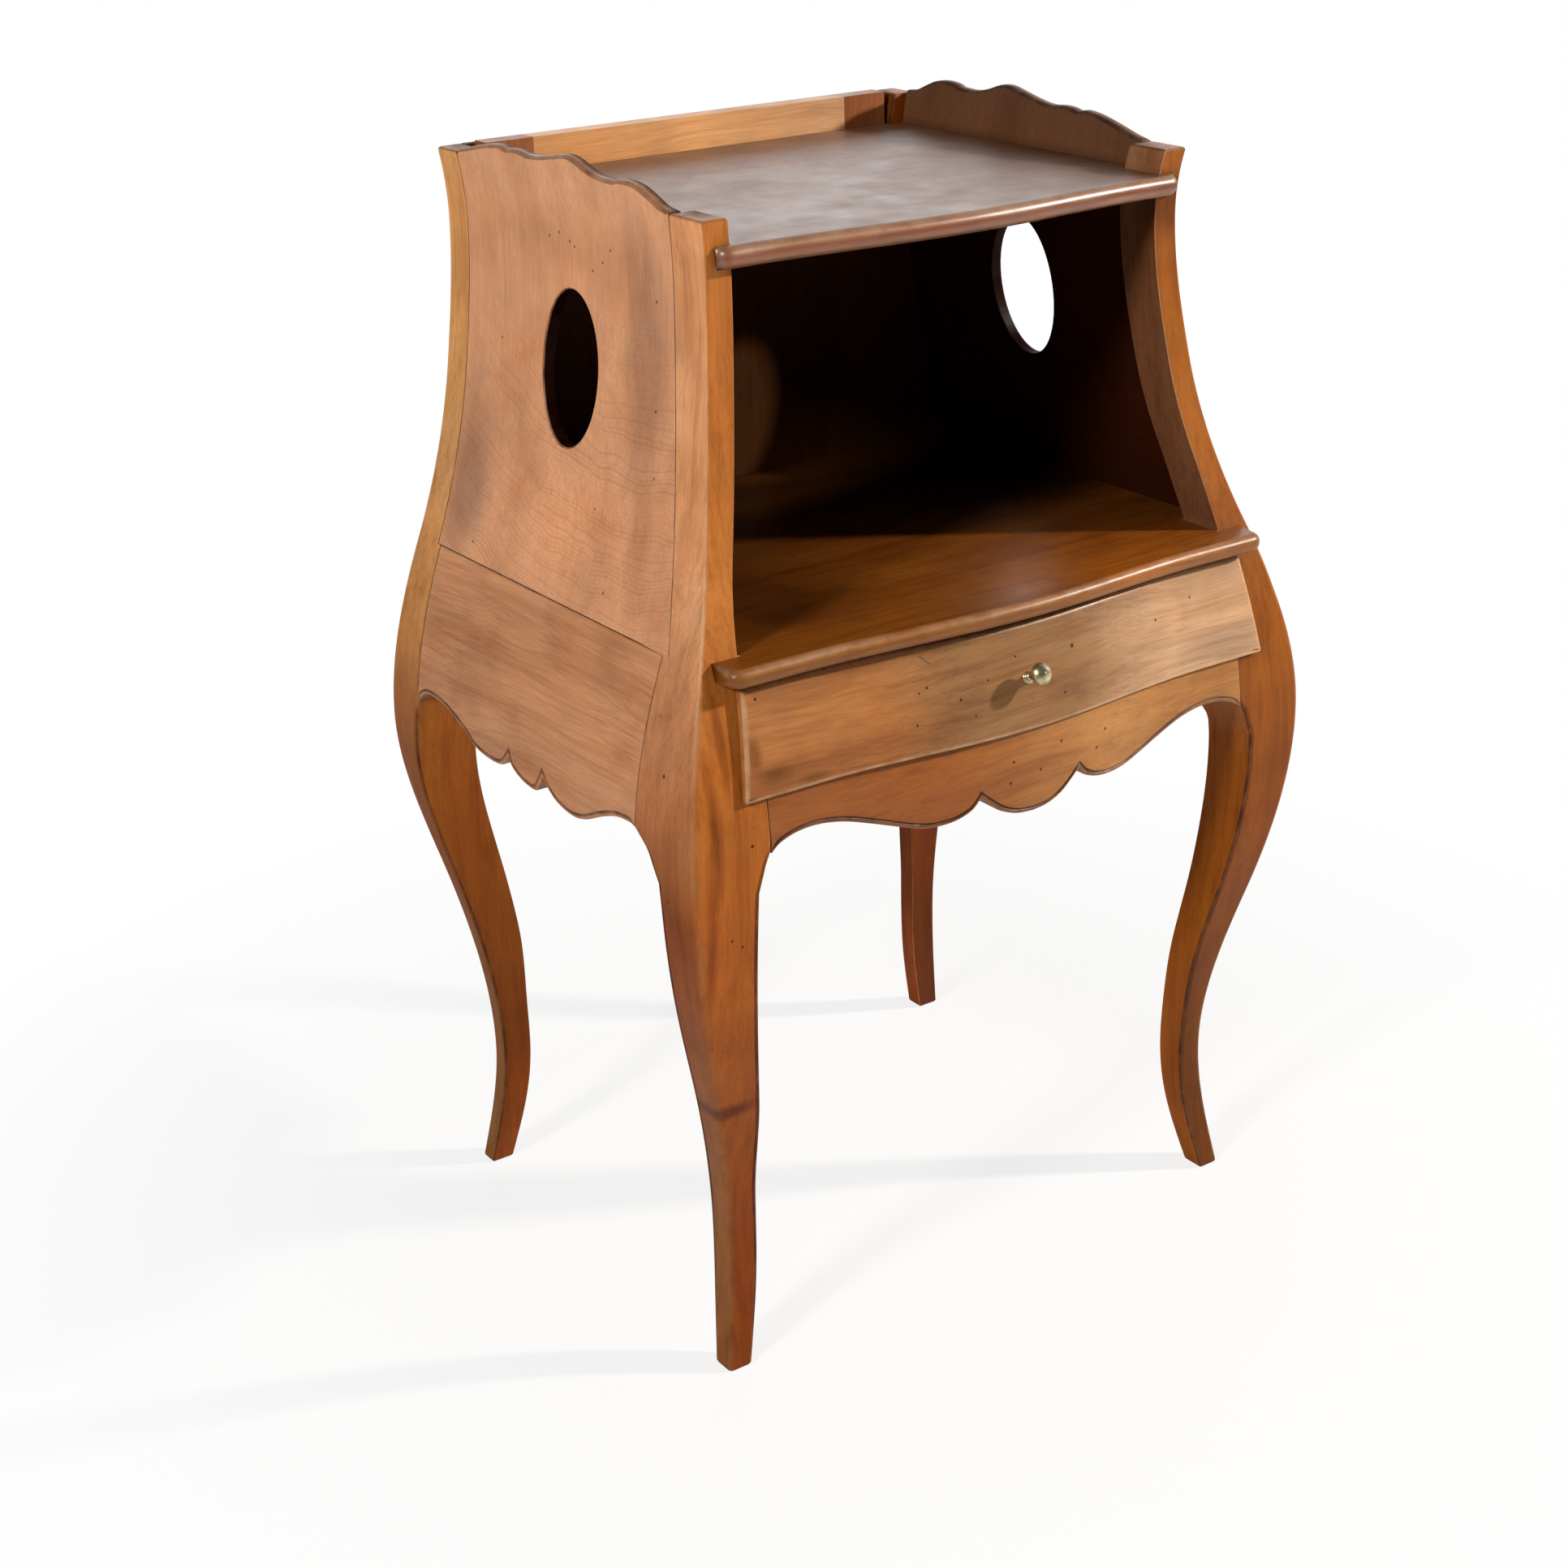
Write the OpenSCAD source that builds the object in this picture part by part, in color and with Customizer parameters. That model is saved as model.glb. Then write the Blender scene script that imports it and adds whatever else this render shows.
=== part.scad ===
// Bombe side table with an open compartment, a drawer and a mirror that slides up out of the back.
// The front is at -Y, the back at +Y and the feet stand on z = 0. All sizes are in millimetres.

/* [Case] */
// Width over the posts at the waist, just under the table top
waist_w = 368; // [352:1:384]
// Depth over the posts at the waist
waist_d = 313; // [300:1:330]
// Height of the front posts
post_h = 740; // [736:1:750]
// How far the rear posts stand above the front posts
rear_rise = 5; // [2:1:12]
// Distance of the waist below the tops of the front posts
waist_drop = 45; // [35:1:60]
// Distance of the neck's measured width below the tops of the front posts
neck_drop = 140; // [120:1:160]

/* [Front legs] */
// Outward offset of the foot from the waist
foot_out = 29; // [24:0.5:34]
// Height of the thin ankle
ankle_z = 95; // [80:1:110]
// Outward offset of the ankle
ankle_out = 19.5; // [15:0.5:24]
// Height where the leg swings outward
knee_z = 215; // [200:1:230]
// Outward offset there
knee_out = 41; // [37:0.5:45]
// Distance of the widest point of the belly below the arches of the apron
hip_drop = 19.5; // [12:0.5:26]
// Outward offset of the belly
hip_out = 63; // [58:0.5:67]
// Outward offset of the shoulder, beside the shelf
shoulder_out = 38; // [35:0.5:41]
// Outward offset of the neck, beside the middle of the compartment
neck_out = 7.8; // [6:0.2:10]
// Size of the square foot
foot_w = 16.5; // [14:0.5:20]
// Width of the leg's front face at the knee
knee_w = 31.5; // [28:0.5:35]
// Width of the leg's front face under the apron
thigh_w = 46; // [43:0.5:49]
// Depth of the leg's side face under the rail
thigh_d = 40; // [37:0.5:43]
// Distance of the inner line of the front face's upper end below the arches of the apron
thigh_drop = 31.5; // [26:0.5:38]
// The same for the side face
thigh_side_drop = 41.5; // [34:0.5:46]

/* [Rear legs] */
// Sideways offset of the rear foot
rear_foot_out = 22; // [18:0.5:26]
// Sideways offset of the rear ankle
rear_ankle_out = 12; // [9:0.5:15]
// Sideways offset of the rear knee
rear_knee_out = 32; // [28:0.5:36]
// Distance of the rear foot's back face inside the waist plane
rear_foot_in = 4.5; // [2:0.5:8]
// Distance of the rear ankle's back face inside the waist plane
rear_ankle_in = 14.5; // [11:0.5:18]
// Bulge of the back face at the belly
rear_hip_out = 7; // [4:0.5:10]
// Depth of the rear leg's side face at the foot
rear_foot_d = 15; // [13:0.5:18]

/* [Upper posts] */
// Width of the front face of a post beside the compartment
neck_w = 18.5; // [17:0.5:20]
// Width of a front post's side face beside the panel
stile_d = 34.5; // [32:0.5:37]
// Width of a rear post's side face beside the panel
rear_stile_d = 27.5; // [26.5:0.5:29]
// Outward curl of the posts at their tops
crest_out = 4.5; // [2:0.5:7]

/* [Sides] */
// Thickness of the side panels
panel_t = 9; // [8:0.5:11]
// Thickness of the side rails
rail_t = 16; // [15:0.5:18]
// Highest point of the shaped edge over the posts
gallery_rise = 17; // [12:0.5:22]
// Half height of the oval opening
oval_h = 50; // [40:1:58]
// Half width of the oval opening
oval_w = 33; // [26:1:40]
// Height of its centre over the middle of the compartment
oval_up = 26; // [16:1:34]
// Place of its centre, measured backward from the middle of the case
oval_y = -4; // [-8:1:0]
// Height of the arches under the side rails over those of the apron
rail_arch_up = 1.5; // [0:0.5:4]

/* [Boards] */
// Distance of the upper face of the table top below the tops of the front posts
top_drop = 16; // [12:1:22]
// Thickness of the table top
top_t = 14; // [12:0.5:16]
// Height of the upper face of the shelf
shelf_top = 486; // [485:0.5:488]
// Thickness of the shelf
shelf_t = 12; // [11:0.5:13]
// Forward sweep of the front in its middle
bow = 12.5; // [8:0.5:16]
// Projection of the table top over the posts
top_nose = 10.5; // [7:0.5:14]
// Projection of the shelf over the posts
shelf_nose = 24.5; // [21:0.5:28]

/* [Front] */
// How far the drawer opening reaches outside the waist on each side
bay_out = 8; // [6:0.5:10]
// Height of the front apron over its arches
apron_h = 49.5; // [46:0.5:54]
// Least thickness of the apron
apron_t = 17; // [14:0.5:20]

/* [Drawer] */
// Height of the drawer front
drawer_h = 66.5; // [63:0.5:68]
// How far the drawer front hangs over the apron
drawer_hang = 22; // [18:0.5:26]
// Overlap of the drawer front over each side of its opening, at its lower edge
overlap_low = 17.5; // [14:0.5:21]
// The same at its upper edge
overlap_high = 8.5; // [6:0.5:12]
// Projection of the drawer front over the posts at its lower edge
lip_low = 5; // [4:0.5:7]
// Projection of the drawer front over the posts at its upper edge
lip_high = 8; // [6:0.5:10]
// Depth of the drawer front behind the face of the posts, at its upper edge
front_t = 10; // [8:0.5:14]
// Thickness of the drawer's sides and back
box_t = 9; // [7:0.5:11]
// Space behind the closed drawer
box_gap = 30.5; // [24:0.5:60]
// Thickness of the runners and guides beside the drawer
runner_t = 12; // [10:0.5:14]
// Width of a runner under the drawer
runner_in = 16; // [12:0.5:20]
// Height of the guides beside the drawer
guide_h = 20; // [16:0.5:24]
// Thickness of the drawer bottom
bottom_t = 4; // [3:0.5:5]
// Depth of the groove that holds the drawer bottom
groove_d = 3; // [2:0.5:4]

/* [Knob] */
// Height of the knob's centre over the lower edge of the drawer front
knob_up = 33; // [31:0.5:35]
// Diameter of the knob's head
knob_d = 14.4; // [12:0.2:17]
// Length of the knob
knob_l = 22; // [19:0.5:24]
// Upward tilt of the knob, which stands on the leaning front
knob_tilt = 24.6; // [16:0.2:26]
// Diameter of the knob's screw
screw_d = 3.6; // [3:0.2:4]
// Depth of the knob's screw in the wood
screw_l = 14; // [12:0.5:16]

/* [Mirror] */
// Clearance of the mirror frame beside each rear post
mirror_gap = 1; // [0.8:0.1:2]
// How far the lowered mirror stands above the table top
mirror_rise = 23; // [18:1:30]
// Thickness of the mirror frame
mirror_t = 15; // [14:0.5:15.5]
// Width of the mirror's stiles
mirror_stile = 36; // [30:0.5:42]
// Height of the mirror's top rail
mirror_top = 45; // [38:0.5:52]
// Height of the mirror's bottom rail
mirror_foot = 40; // [36:0.5:46]
// Height of the blocks that stop the raised mirror
stop_h = 32.5; // [28:0.5:50]
// Width of these blocks
stop_w = 40; // [30:1:60]
// Thickness of the mirror glass
glass_t = 3; // [2:0.5:4]
// Overlap of the frame and the glass
rebate = 6; // [4:0.5:8]
// Thickness of the board behind the glass
board_t = 4; // [3:0.5:5]
// Width of the beads that hold the board
bead = 3; // [2:0.5:3]

/* [Back] */
// Thickness of the thin boards that close the back
back_t = 5.5; // [4.5:0.5:6]
// Thickness of the rear rail
rear_rail_t = 18; // [16:0.5:20]
// Diameter of the back screws' shanks
back_screw_d = 2.8; // [2.4:0.2:3.2]
// Diameter of the wooden pegs
peg_d = 5; // [4:0.5:6]

/* [Hidden] */
// Gap between glued faces
glue = 0.1;
// Clearance of a sliding fit on each side
slide = 0.8;
half_w = waist_w / 2;
half_d = waist_d / 2;
bay_half = half_w + bay_out;
mirror_half = half_w - neck_w - mirror_gap;
// Half length over which the front sweeps forward
bow_half = half_w - 24;

// Heights in the upper part, from the tops of the front posts down
rear_post_h = post_h + rear_rise;
top_z = post_h - top_drop;
waist_z = post_h - waist_drop;
neck_z = post_h - neck_drop;
// Heights in the lower part, from the shelf down
shelf_z = shelf_top - shelf_t;
panel_z = shelf_top - 4;
shoulder_z = shelf_top - 6;
drawer_top = shelf_z - 3.5;
drawer_z = drawer_top - drawer_h;
knob_z = drawer_z + knob_up;
apron_top = drawer_z + drawer_hang;
apron_arch_z = apron_top - apron_h;
rail_arch_z = apron_arch_z + rail_arch_up;
hip_z = apron_arch_z - hip_drop;
oval_z = (shelf_top + top_z - top_t) / 2 + oval_up;
thigh_z = apron_arch_z - thigh_drop;
thigh_side_z = apron_arch_z - thigh_side_drop;
// Highest point of the shaped edge of the panels
crest_z = post_h + gallery_rise + 8;

// Outward offset of the front arris from the waist, as [height, offset, slope]
front_curve = [
    [0, foot_out, -0.16],
    [ankle_z, ankle_out, 0.02],
    [knee_z, knee_out, 0.27],
    [hip_z, hip_out, 0],
    [shoulder_z, shoulder_out, -0.36],
    [neck_z, neck_out, -0.13],
    [waist_z, 0, 0],
    [post_h, crest_out, 0.2],
    [crest_z, crest_out + 0.2 * (crest_z - post_h), 0.2]
];
// The same for the rear legs, which stand in more
rear_curve = concat(
    [[0, rear_foot_out, -0.16], [ankle_z, rear_ankle_out, 0.02], [knee_z, rear_knee_out, 0.26]],
    [for (i = [3 : len(front_curve) - 1]) front_curve[i]]
);
// Backward offset of the rear face from the waist
back_curve = [
    [0, -rear_foot_in, -0.15],
    [ankle_z, -rear_ankle_in, 0],
    [knee_z, -rear_ankle_in / 2, 0.13],
    [hip_z, rear_hip_out, 0],
    [shoulder_z, 1.5, -0.05],
    [neck_z, 0, 0],
    [crest_z, 0, 0]
];
// Width of a leg's front face
leg_width = [[0, foot_w, 0.08], [60, foot_w + 4, 0.03], [118, foot_w + 5.5, 0.06], [187, knee_w, 0.1],
    [270, knee_w + 8, 0.09], [thigh_z, thigh_w, 0.08]];
// Depth of a front leg's side face
leg_depth = [[0, foot_w, 0.08], [60, foot_w + 3.5, 0.03], [118, foot_w + 5, 0.04], [187, knee_w - 6, 0.09],
    [257, knee_w + 2.5, 0.12], [thigh_side_z, thigh_d, 0.05]];
// Depth of a rear leg's side face
rear_leg_depth = [[0, rear_foot_d, 0.01], [160, rear_foot_d + 1.5, 0.02], [244, rear_foot_d + 4.5, 0.06],
    [300, rear_foot_d + 9.5, 0.14], [thigh_z, rear_foot_d + 18, 0.25]];
// Width of a post's front face above the shelf
neck_width = [[shelf_top, neck_w + 7.5, -0.22], [540, neck_w + 1, -0.01], [crest_z, neck_w, 0]];

// Value of a curve of [place, value, slope] stations at z
function along(curve, z) =
    let (
        i = max([for (k = [0 : len(curve) - 2]) z >= curve[k][0] ? k : 0]),
        a = curve[i],
        b = curve[i + 1],
        h = b[0] - a[0],
        t = (z - a[0]) / h
    )
    (2 * t * t * t - 3 * t * t + 1) * a[1] + (t * t * t - 2 * t * t + t) * h * a[2]
    + (3 * t * t - 2 * t * t * t) * b[1] + (t * t * t - t * t) * h * b[2];
// Inner line of a post above the shelf, from the shelf up
function neck_line(top) = [for (z = steps(shelf_top, top, 10)) [neck_x(z), z]];
// Evenly spaced values from a to b
function steps(a, b, n) = [for (i = [0 : n]) a + (b - a) * i / n];
// Heights from 0 to top that meet each station of the posts
function heights(top) =
    let (marks = concat([for (s = front_curve) if (s[0] < top) s[0]], [top]))
    concat([0], [for (i = [1 : len(marks) - 1]) for (j = [1 : 4]) marks[i - 1] + (marks[i] - marks[i - 1]) * j / 4]);
function reversed(list) = [for (i = [len(list) - 1 : -1 : 0]) list[i]];
// Smooth line through a few points, n pieces between two of them
function smooth(p, n) = concat(
    [for (i = [0 : len(p) - 2]) for (j = [0 : n - 1])
        let (a = p[max(i - 1, 0)], b = p[i], c = p[i + 1], d = p[min(i + 2, len(p) - 1)], t = j / n)
        b + 0.5 * (t * (c - a) + t * t * (2 * a - 5 * b + 4 * c - d) + t * t * t * (3 * b - a - 3 * c + d))],
    [p[len(p) - 1]]
);
// Forward sweep of the serpentine front at x
function sweep(x) = abs(x) < bow_half ? bow * (1 + cos(180 * x / bow_half)) / 2 : 0;

function out_x(z) = half_w + along(front_curve, z);
function rear_out_x(z) = half_w + along(rear_curve, z);
function front_y(z) = -half_d - along(front_curve, z);
function back_y(z) = half_d + along(back_curve, z);
function neck_x(z) = out_x(z) - along(neck_width, z);

// Ends of the side rails, where they meet the posts
rail_front = -half_d + 3.5;
rail_rear = half_d - rear_stile_d - 3.5;
panel_rear = half_d - rear_stile_d;

// Planes of the back, from the compartment outward
mirror_y = panel_rear + 5;
inner_back_y = panel_rear - 0.5 - back_t;
slot_y = mirror_y + mirror_t + 1.4;
outer_back_y = slot_y + glue;
top_rear = mirror_y - 1;
back_half = mirror_half + 6.5;

// The drawer
box_half = bay_half - 1.5;
box_z = apron_top + 1;
front_inner = front_y(shelf_z) + front_t;
apron_back = front_y(apron_top) + apron_t;
box_rear = mirror_y - box_gap;
groove_z = box_z + 2;
knob_seat = front_y(knob_z) - sweep(0) - drawer_proud(knob_z) + 1.2;
function drawer_proud(z) = lip_low + (lip_high - lip_low) * (z - drawer_z) / drawer_h;

// The mirror
mirror_z = shelf_z - 7;
mirror_h = top_z + mirror_rise - mirror_z;
opening_half = mirror_half - mirror_stile;
glass_low = mirror_z + mirror_foot;
glass_high = mirror_z + mirror_h - mirror_top;
glass_y = mirror_y + 4 + glue;
board_y = glass_y + glass_t + glue;

// The whole part is centred on its box, from the knob's tip to the belly of the rear posts
frame_y = -(knob_seat - knob_l * cos(knob_tilt) + half_d + rear_hip_out) / 2;

// Puts the case's own middle in its place in the part's frame
module placed() translate([0, frame_y, 0]) children();
// The right side as modelled, or its mirror image on the left
module on_side(s) {
    if (s > 0) children();
    else mirror([1, 0, 0]) children();
}
// A front view outline of [x, z] points, made solid from y0 to y1
module front_prism(points, y0, y1) translate([0, y1, 0]) rotate([90, 0, 0]) linear_extrude(y1 - y0) polygon(points);
// A side view outline of [y, z] points, made solid from x0 to x1
module side_prism(points, x0, x1) translate([x0, 0, 0]) rotate([90, 0, 90]) linear_extrude(x1 - x0) polygon(points);
// A block between two corners
module block(a, b) translate(a) cube(b - a);
// A closed skin over rings with equal numbers of points
module loft(rings) {
    n = len(rings);
    m = len(rings[0]);
    walls = [for (i = [0 : n - 2]) for (j = [0 : m - 1])
        let (k = (j + 1) % m)
        each [[i * m + j, i * m + k, (i + 1) * m + j], [i * m + k, (i + 1) * m + k, (i + 1) * m + j]]];
    first = [for (j = [m - 1 : -1 : 0]) j];
    last = [for (j = [0 : m - 1]) (n - 1) * m + j];
    polyhedron([for (r = rings) each r], concat([first], walls, [last]), convexity = 8);
}

// Front view of a right-hand post, grown by g on every face
function post_front(curve, top, g) = concat(
    [for (z = heights(top)) [half_w + along(curve, z) + g, z]],
    [for (p = reversed(neck_line(top))) [p[0] - g, p[1]]],
    [[bay_half - g, shelf_top], [bay_half - g, apron_arch_z - 7], [bay_half + 3.5 - g, apron_arch_z - 14.5]],
    [for (z = reversed(heights(thigh_z))) [half_w + along(curve, z) - along(leg_width, z) - g, z]]
);
// Side view of a front post
function front_post_side(g) = concat(
    [for (z = heights(post_h)) [front_y(z) - g, z]],
    [for (z = steps(post_h, panel_z, 10)) [front_y(z) + stile_d + g, z]],
    [[rail_front + g, panel_z], [rail_front + g, rail_arch_z], [rail_front - 14 + g, rail_arch_z - 10]],
    [[rail_front - 25 + g, rail_arch_z - 28]],
    [for (z = reversed(heights(thigh_side_z))) [front_y(z) + along(leg_depth, z) + g, z]]
);
// Side view of a rear post
function rear_post_side(g) = concat(
    [for (z = reversed(heights(rear_post_h))) [back_y(z) + g, z]],
    [for (z = heights(thigh_z)) [back_y(z) - along(rear_leg_depth, z) - g, z]],
    [[rail_rear - g, rail_arch_z - 3], [rail_rear - g, panel_z], [panel_rear - g, panel_z]],
    [[panel_rear - g, rear_post_h]]
);
module front_post_solid(g = 0) {
    intersection() {
        front_prism(post_front(front_curve, post_h, g), -2 * half_d, 0);
        side_prism(front_post_side(g), 0, 2 * half_w);
    }
}
module rear_post_solid(g = 0) {
    intersection() {
        front_prism(post_front(rear_curve, rear_post_h, g), 0, 2 * half_d);
        side_prism(rear_post_side(g), 0, 2 * half_w);
    }
}

// Places of the pegs that pin the rails and the apron: [y, z] in the sides, [x, z] in the front
peg_l = 16;
side_pegs = [for (y = [rail_front - 0.35 * stile_d, rail_rear + 0.47 * rear_stile_d]) for (share = [0.21, 0.69])
    [y, rail_arch_z + share * (panel_z - rail_arch_z)]];
front_peg = [bay_half + 11, apron_arch_z + 12];
module peg_bodies(g) {
    for (p = side_pegs)
        translate([out_x(p[1]) - peg_l - g, p[0], p[1]]) rotate([0, 90, 0]) cylinder(d = peg_d + 2 * g, h = 2 * peg_l, $fn = 24);
    translate([front_peg[0], front_y(front_peg[1]) + peg_l + g, front_peg[1]]) rotate([90, 0, 0])
        cylinder(d = peg_d + 2 * g, h = 2 * peg_l, $fn = 24);
}
// Flared part of the inner line of the rear posts, beside the mirror guides
guide_line = [for (i = [0 : 3]) neck_line(rear_post_h)[i]];
guide_top = guide_line[3][1];
// Places of the screws that hold the outer back: two in each guide and one in each post
back_screw_x = mirror_half + 3.8;
back_screw_l = 14;
back_screw_low = mirror_z + 0.82 * mirror_foot;
back_screw_zs = [back_screw_low, guide_top - back_screw_l, top_z - 4];
module back_screw_bores(d, y0) {
    for (z = back_screw_zs)
        translate([back_screw_x, y0 + back_screw_l, z]) rotate([90, 0, 0]) cylinder(d = d, h = back_screw_l, $fn = 20);
}
// Depth at which the back screws' tips lie
screw_tip = outer_back_y + back_t - back_screw_l;

module front_post(s) color("chocolate") on_side(s) difference() {
    front_post_solid();
    peg_bodies(glue / 2);
}
module rear_post(s) color("chocolate") on_side(s) difference() {
    rear_post_solid();
    peg_bodies(glue / 2);
    block([0, outer_back_y - glue, mirror_z - glue], [back_half + glue, 2 * half_d, rear_post_h + 1]);
    back_screw_bores(back_screw_d, screw_tip);
}

// Shaped top edge of a panel as [share of its length from the front, rise] points, with a nick between stretches
gallery_edge = [
    [[0, 0], [0.04, 1.5], [0.08, 6], [0.12, 10], [0.165, 11.5], [0.21, 10.8], [0.23, 9.2]],
    [[0.23, 9.2], [0.29, 9], [0.335, 10.8], [0.37, 13.5], [0.405, 16.5], [0.445, 17], [0.51, 14],
        [0.58, 11], [0.63, 10.2], [0.67, 11.2], [0.71, 10.8], [0.735, 9.3]],
    [[0.735, 9.3], [0.76, 11], [0.81, 10], [0.88, 6.5], [0.955, 2], [1, 0]]
];
// The two panels are cut alike and one is turned end for end
function gallery(turned) =
    let (
        y0 = front_y(post_h) + stile_d + glue,
        y1 = panel_rear - glue,
        tilt = rear_post_h + 1 - post_h,
        edge = [for (part = gallery_edge) each smooth(part, 3)],
        line = [for (p = edge) [turned ? 1 - p[0] : p[0], p[1] * gallery_rise / 17]]
    )
    [for (p = turned ? reversed(line) : line) [y0 + (y1 - y0) * p[0], post_h + 1 + tilt * p[0] + p[1]]];
function panel_side(turned) = concat(
    gallery(turned),
    [[panel_rear - glue, panel_z + glue]],
    [for (z = steps(panel_z + glue, post_h, 10)) [front_y(z) + stile_d + glue, z]]
);
// A board that follows the side's curve, its outer face flush with the posts
module curved_board(z0, z1, t, y0, y1) {
    zs = [for (z = heights(crest_z)) if (z > z0 && z < z1) z];
    all = concat([z0], zs, [z1]);
    front_prism(concat([for (z = all) [out_x(z), z]], [for (z = reversed(all)) [out_x(z) - t, z]]), y0, y1);
}
module panel(s) color("peru") on_side(s) difference() {
    intersection() {
        curved_board(panel_z + glue, crest_z, panel_t, -half_d, half_d);
        side_prism(panel_side(s > 0), 0, 2 * half_w);
    }
    side_prism([for (a = [0 : 7.5 : 352.5]) [oval_y + oval_w * cos(a), oval_z + oval_h * sin(a)]], 0, 2 * half_w);
}

// Lower edge of a side rail as [share of its length from the front, height over the arches]
scallop_edge = [
    [[0, 0], [0.03, 0], [0.08, -1.5], [0.14, -7], [0.21, -15.5], [0.265, -18.5], [0.33, -16], [0.375, -9.7],
        [0.397, -4]],
    [[0.397, -4], [0.415, -12], [0.435, -16.5], [0.49, -15.3], [0.538, -10], [0.554, -4]],
    [[0.554, -4], [0.585, -12.2], [0.645, -14], [0.715, -11.5], [0.77, -4], [0.86, 4], [0.935, 6], [0.975, 3.5],
        [1, -3]]
];
module side_rail(s) color("sienna") on_side(s) difference() {
    intersection() {
        curved_board(rail_arch_z - 2.5 * rail_t, panel_z, rail_t, rail_front + glue, rail_rear - glue);
        side_prism(
            concat(
                [for (part = scallop_edge) for (p = smooth(part, 3))
                    [rail_front + (rail_rear - rail_front) * p[0], rail_arch_z + p[1]]],
                [[rail_rear, panel_z], [rail_front, panel_z]]
            ), 0, 2 * half_w);
    }
    block([0, -half_d, shelf_z - glue], [shelf_half + glue, half_d, panel_z + 1]);
}

// Half width of the shelf, which rests in a rebate of the side rails
shelf_half = out_x(shelf_top) - panel_t - 0.5;
// Stations across a board from end to end, close together at its rounded corners
function board_stations(half, r) =
    let (ends = concat([for (a = [90 : -30 : 0]) half - r + r * sin(a)], steps(half - r - 6, bow_half, 2)))
    concat([for (x = ends) -x], [for (x = steps(-bow_half, bow_half, 20)) x], reversed(ends));
// Section of a board with a rounded nose, at x; the nose draws back at the corners of the board
function nosed(x, half, r, front, rear, z, t) =
    let (
        over = max(0, abs(x) - half + r),
        y = front - sweep(x) * 0.8 + r - sqrt(max(0, r * r - over * over))
    )
    concat(
        [[x, rear, z + t], [x, rear, z]],
        [for (a = [-90 : 30 : 90]) [x, y + t / 2.4 * (1 - cos(a)), z + t / 2 + t / 2 * sin(a)]]
    );
function unique(xs) = [for (i = [0 : len(xs) - 1]) if (i == 0 || abs(xs[i] - xs[i - 1]) > 0.01) xs[i]];
module nosed_board(half, r, front, rear, z, t)
    loft([for (x = unique(board_stations(half, r))) nosed(x, half, r, front, rear, z, t)]);

// Half width of the table top's nose and radius of its corners
top_corner = half_w - 5;
top_r = 7;
module table_top() color("rosybrown") difference() {
    nosed_board(top_corner, top_r, -half_d - top_nose, top_rear, top_z - top_t, top_t);
    for (s = [-1, 1]) on_side(s) {
        front_post_solid(glue);
        rear_post_solid(glue);
        // The horns stay clear of the posts, which lean forward above them
        translate([0, -6 * glue, 0]) front_post_solid(glue);
        // The horns end in front of the posts, and the rest ends at the panels
        zs = steps(top_z - top_t - 2, top_z + 2, 4);
        front_prism(
            concat([for (z = zs) [out_x(z) - panel_t - 2 * glue, z]], [for (z = reversed(zs)) [2 * half_w, z]]),
            -half_d - glue, half_d);
        block([half_w - panel_t - 12, panel_rear - glue, 0], [2 * half_w, half_d, post_h]);
    }
}
// Half width of the shelf's nose and radius of its corners
shelf_corner = out_x(shelf_top) - 7;
shelf_r = 9;
// Space that a front post takes at the height of the shelf
module post_notch() {
    low = shelf_z - 4;
    high = shelf_top + 4;
    side_prism(
        concat(
            [for (z = steps(low, high, 4)) [front_y(z) - glue, z]],
            [for (z = steps(high, panel_z, 2)) [front_y(z) + stile_d + glue, z]],
            [[rail_front + glue, panel_z], [rail_front + glue, low]]
        ), bay_half - glue, 2 * half_w);
}
module shelf() color("sienna") difference() {
    nosed_board(shelf_corner, shelf_r, front_y(shelf_top) - shelf_nose, panel_rear, shelf_z, shelf_t);
    for (s = [-1, 1]) on_side(s) {
        post_notch();
        block([bay_half - glue, rail_rear - glue, shelf_z - 4], [2 * half_w, half_d, shelf_top + 4]);
        block([shelf_half, front_y(shelf_z) + 6, shelf_z - 4], [2 * half_w, half_d, shelf_top + 4]);
    }
}

// Lower edge of the right half of the front apron as [share of its length from the middle, height over the
// arches], with a cusp between the stretches
apron_edge = [
    [[0, -28.5], [0.063, -27.2], [0.125, -22.7], [0.177, -15.5], [0.208, -10.5]],
    [[0.208, -10.5], [0.24, -16.5], [0.292, -20.5], [0.354, -22], [0.427, -20.7], [0.51, -16], [0.615, -9],
        [0.714, -3], [0.807, 0.1], [0.885, -0.1], [0.948, -3], [1, -8]]
];
module front_apron() color("peru") {
    half = concat(smooth(apron_edge[0], 2), smooth(apron_edge[1], 2));
    edge = [for (i = [0 : len(half) - 1]) if (i == 0 || half[i][0] > half[i - 1][0]) half[i]];
    whole = concat([for (i = [len(edge) - 1 : -1 : 1]) [-edge[i][0], edge[i][1]]], edge);
    loft([for (p = whole)
        let (x = p[0] * (bay_half - glue), low = apron_arch_z + p[1])
        concat(
            [[x, apron_back, apron_top], [x, apron_back, low]],
            [for (z = steps(low, apron_top, 4)) [x, front_y(z) - sweep(x), z]]
        )]);
}
module rear_rail() color("saddlebrown")
    block([-bay_half + glue, mirror_y + 1, rail_arch_z + 7], [bay_half - glue, mirror_y + 1 + rear_rail_t, mirror_z - 0.3]);
module inner_back() color("saddlebrown") {
    zs = steps(shelf_top + glue, top_z - top_t - glue, 8);
    front_prism(
        concat(
            [for (z = zs) [out_x(z) - panel_t - 5 * glue, z]],
            [for (z = reversed(zs)) [-out_x(z) + panel_t + 5 * glue, z]]
        ), inner_back_y, inner_back_y + back_t);
}
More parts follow.
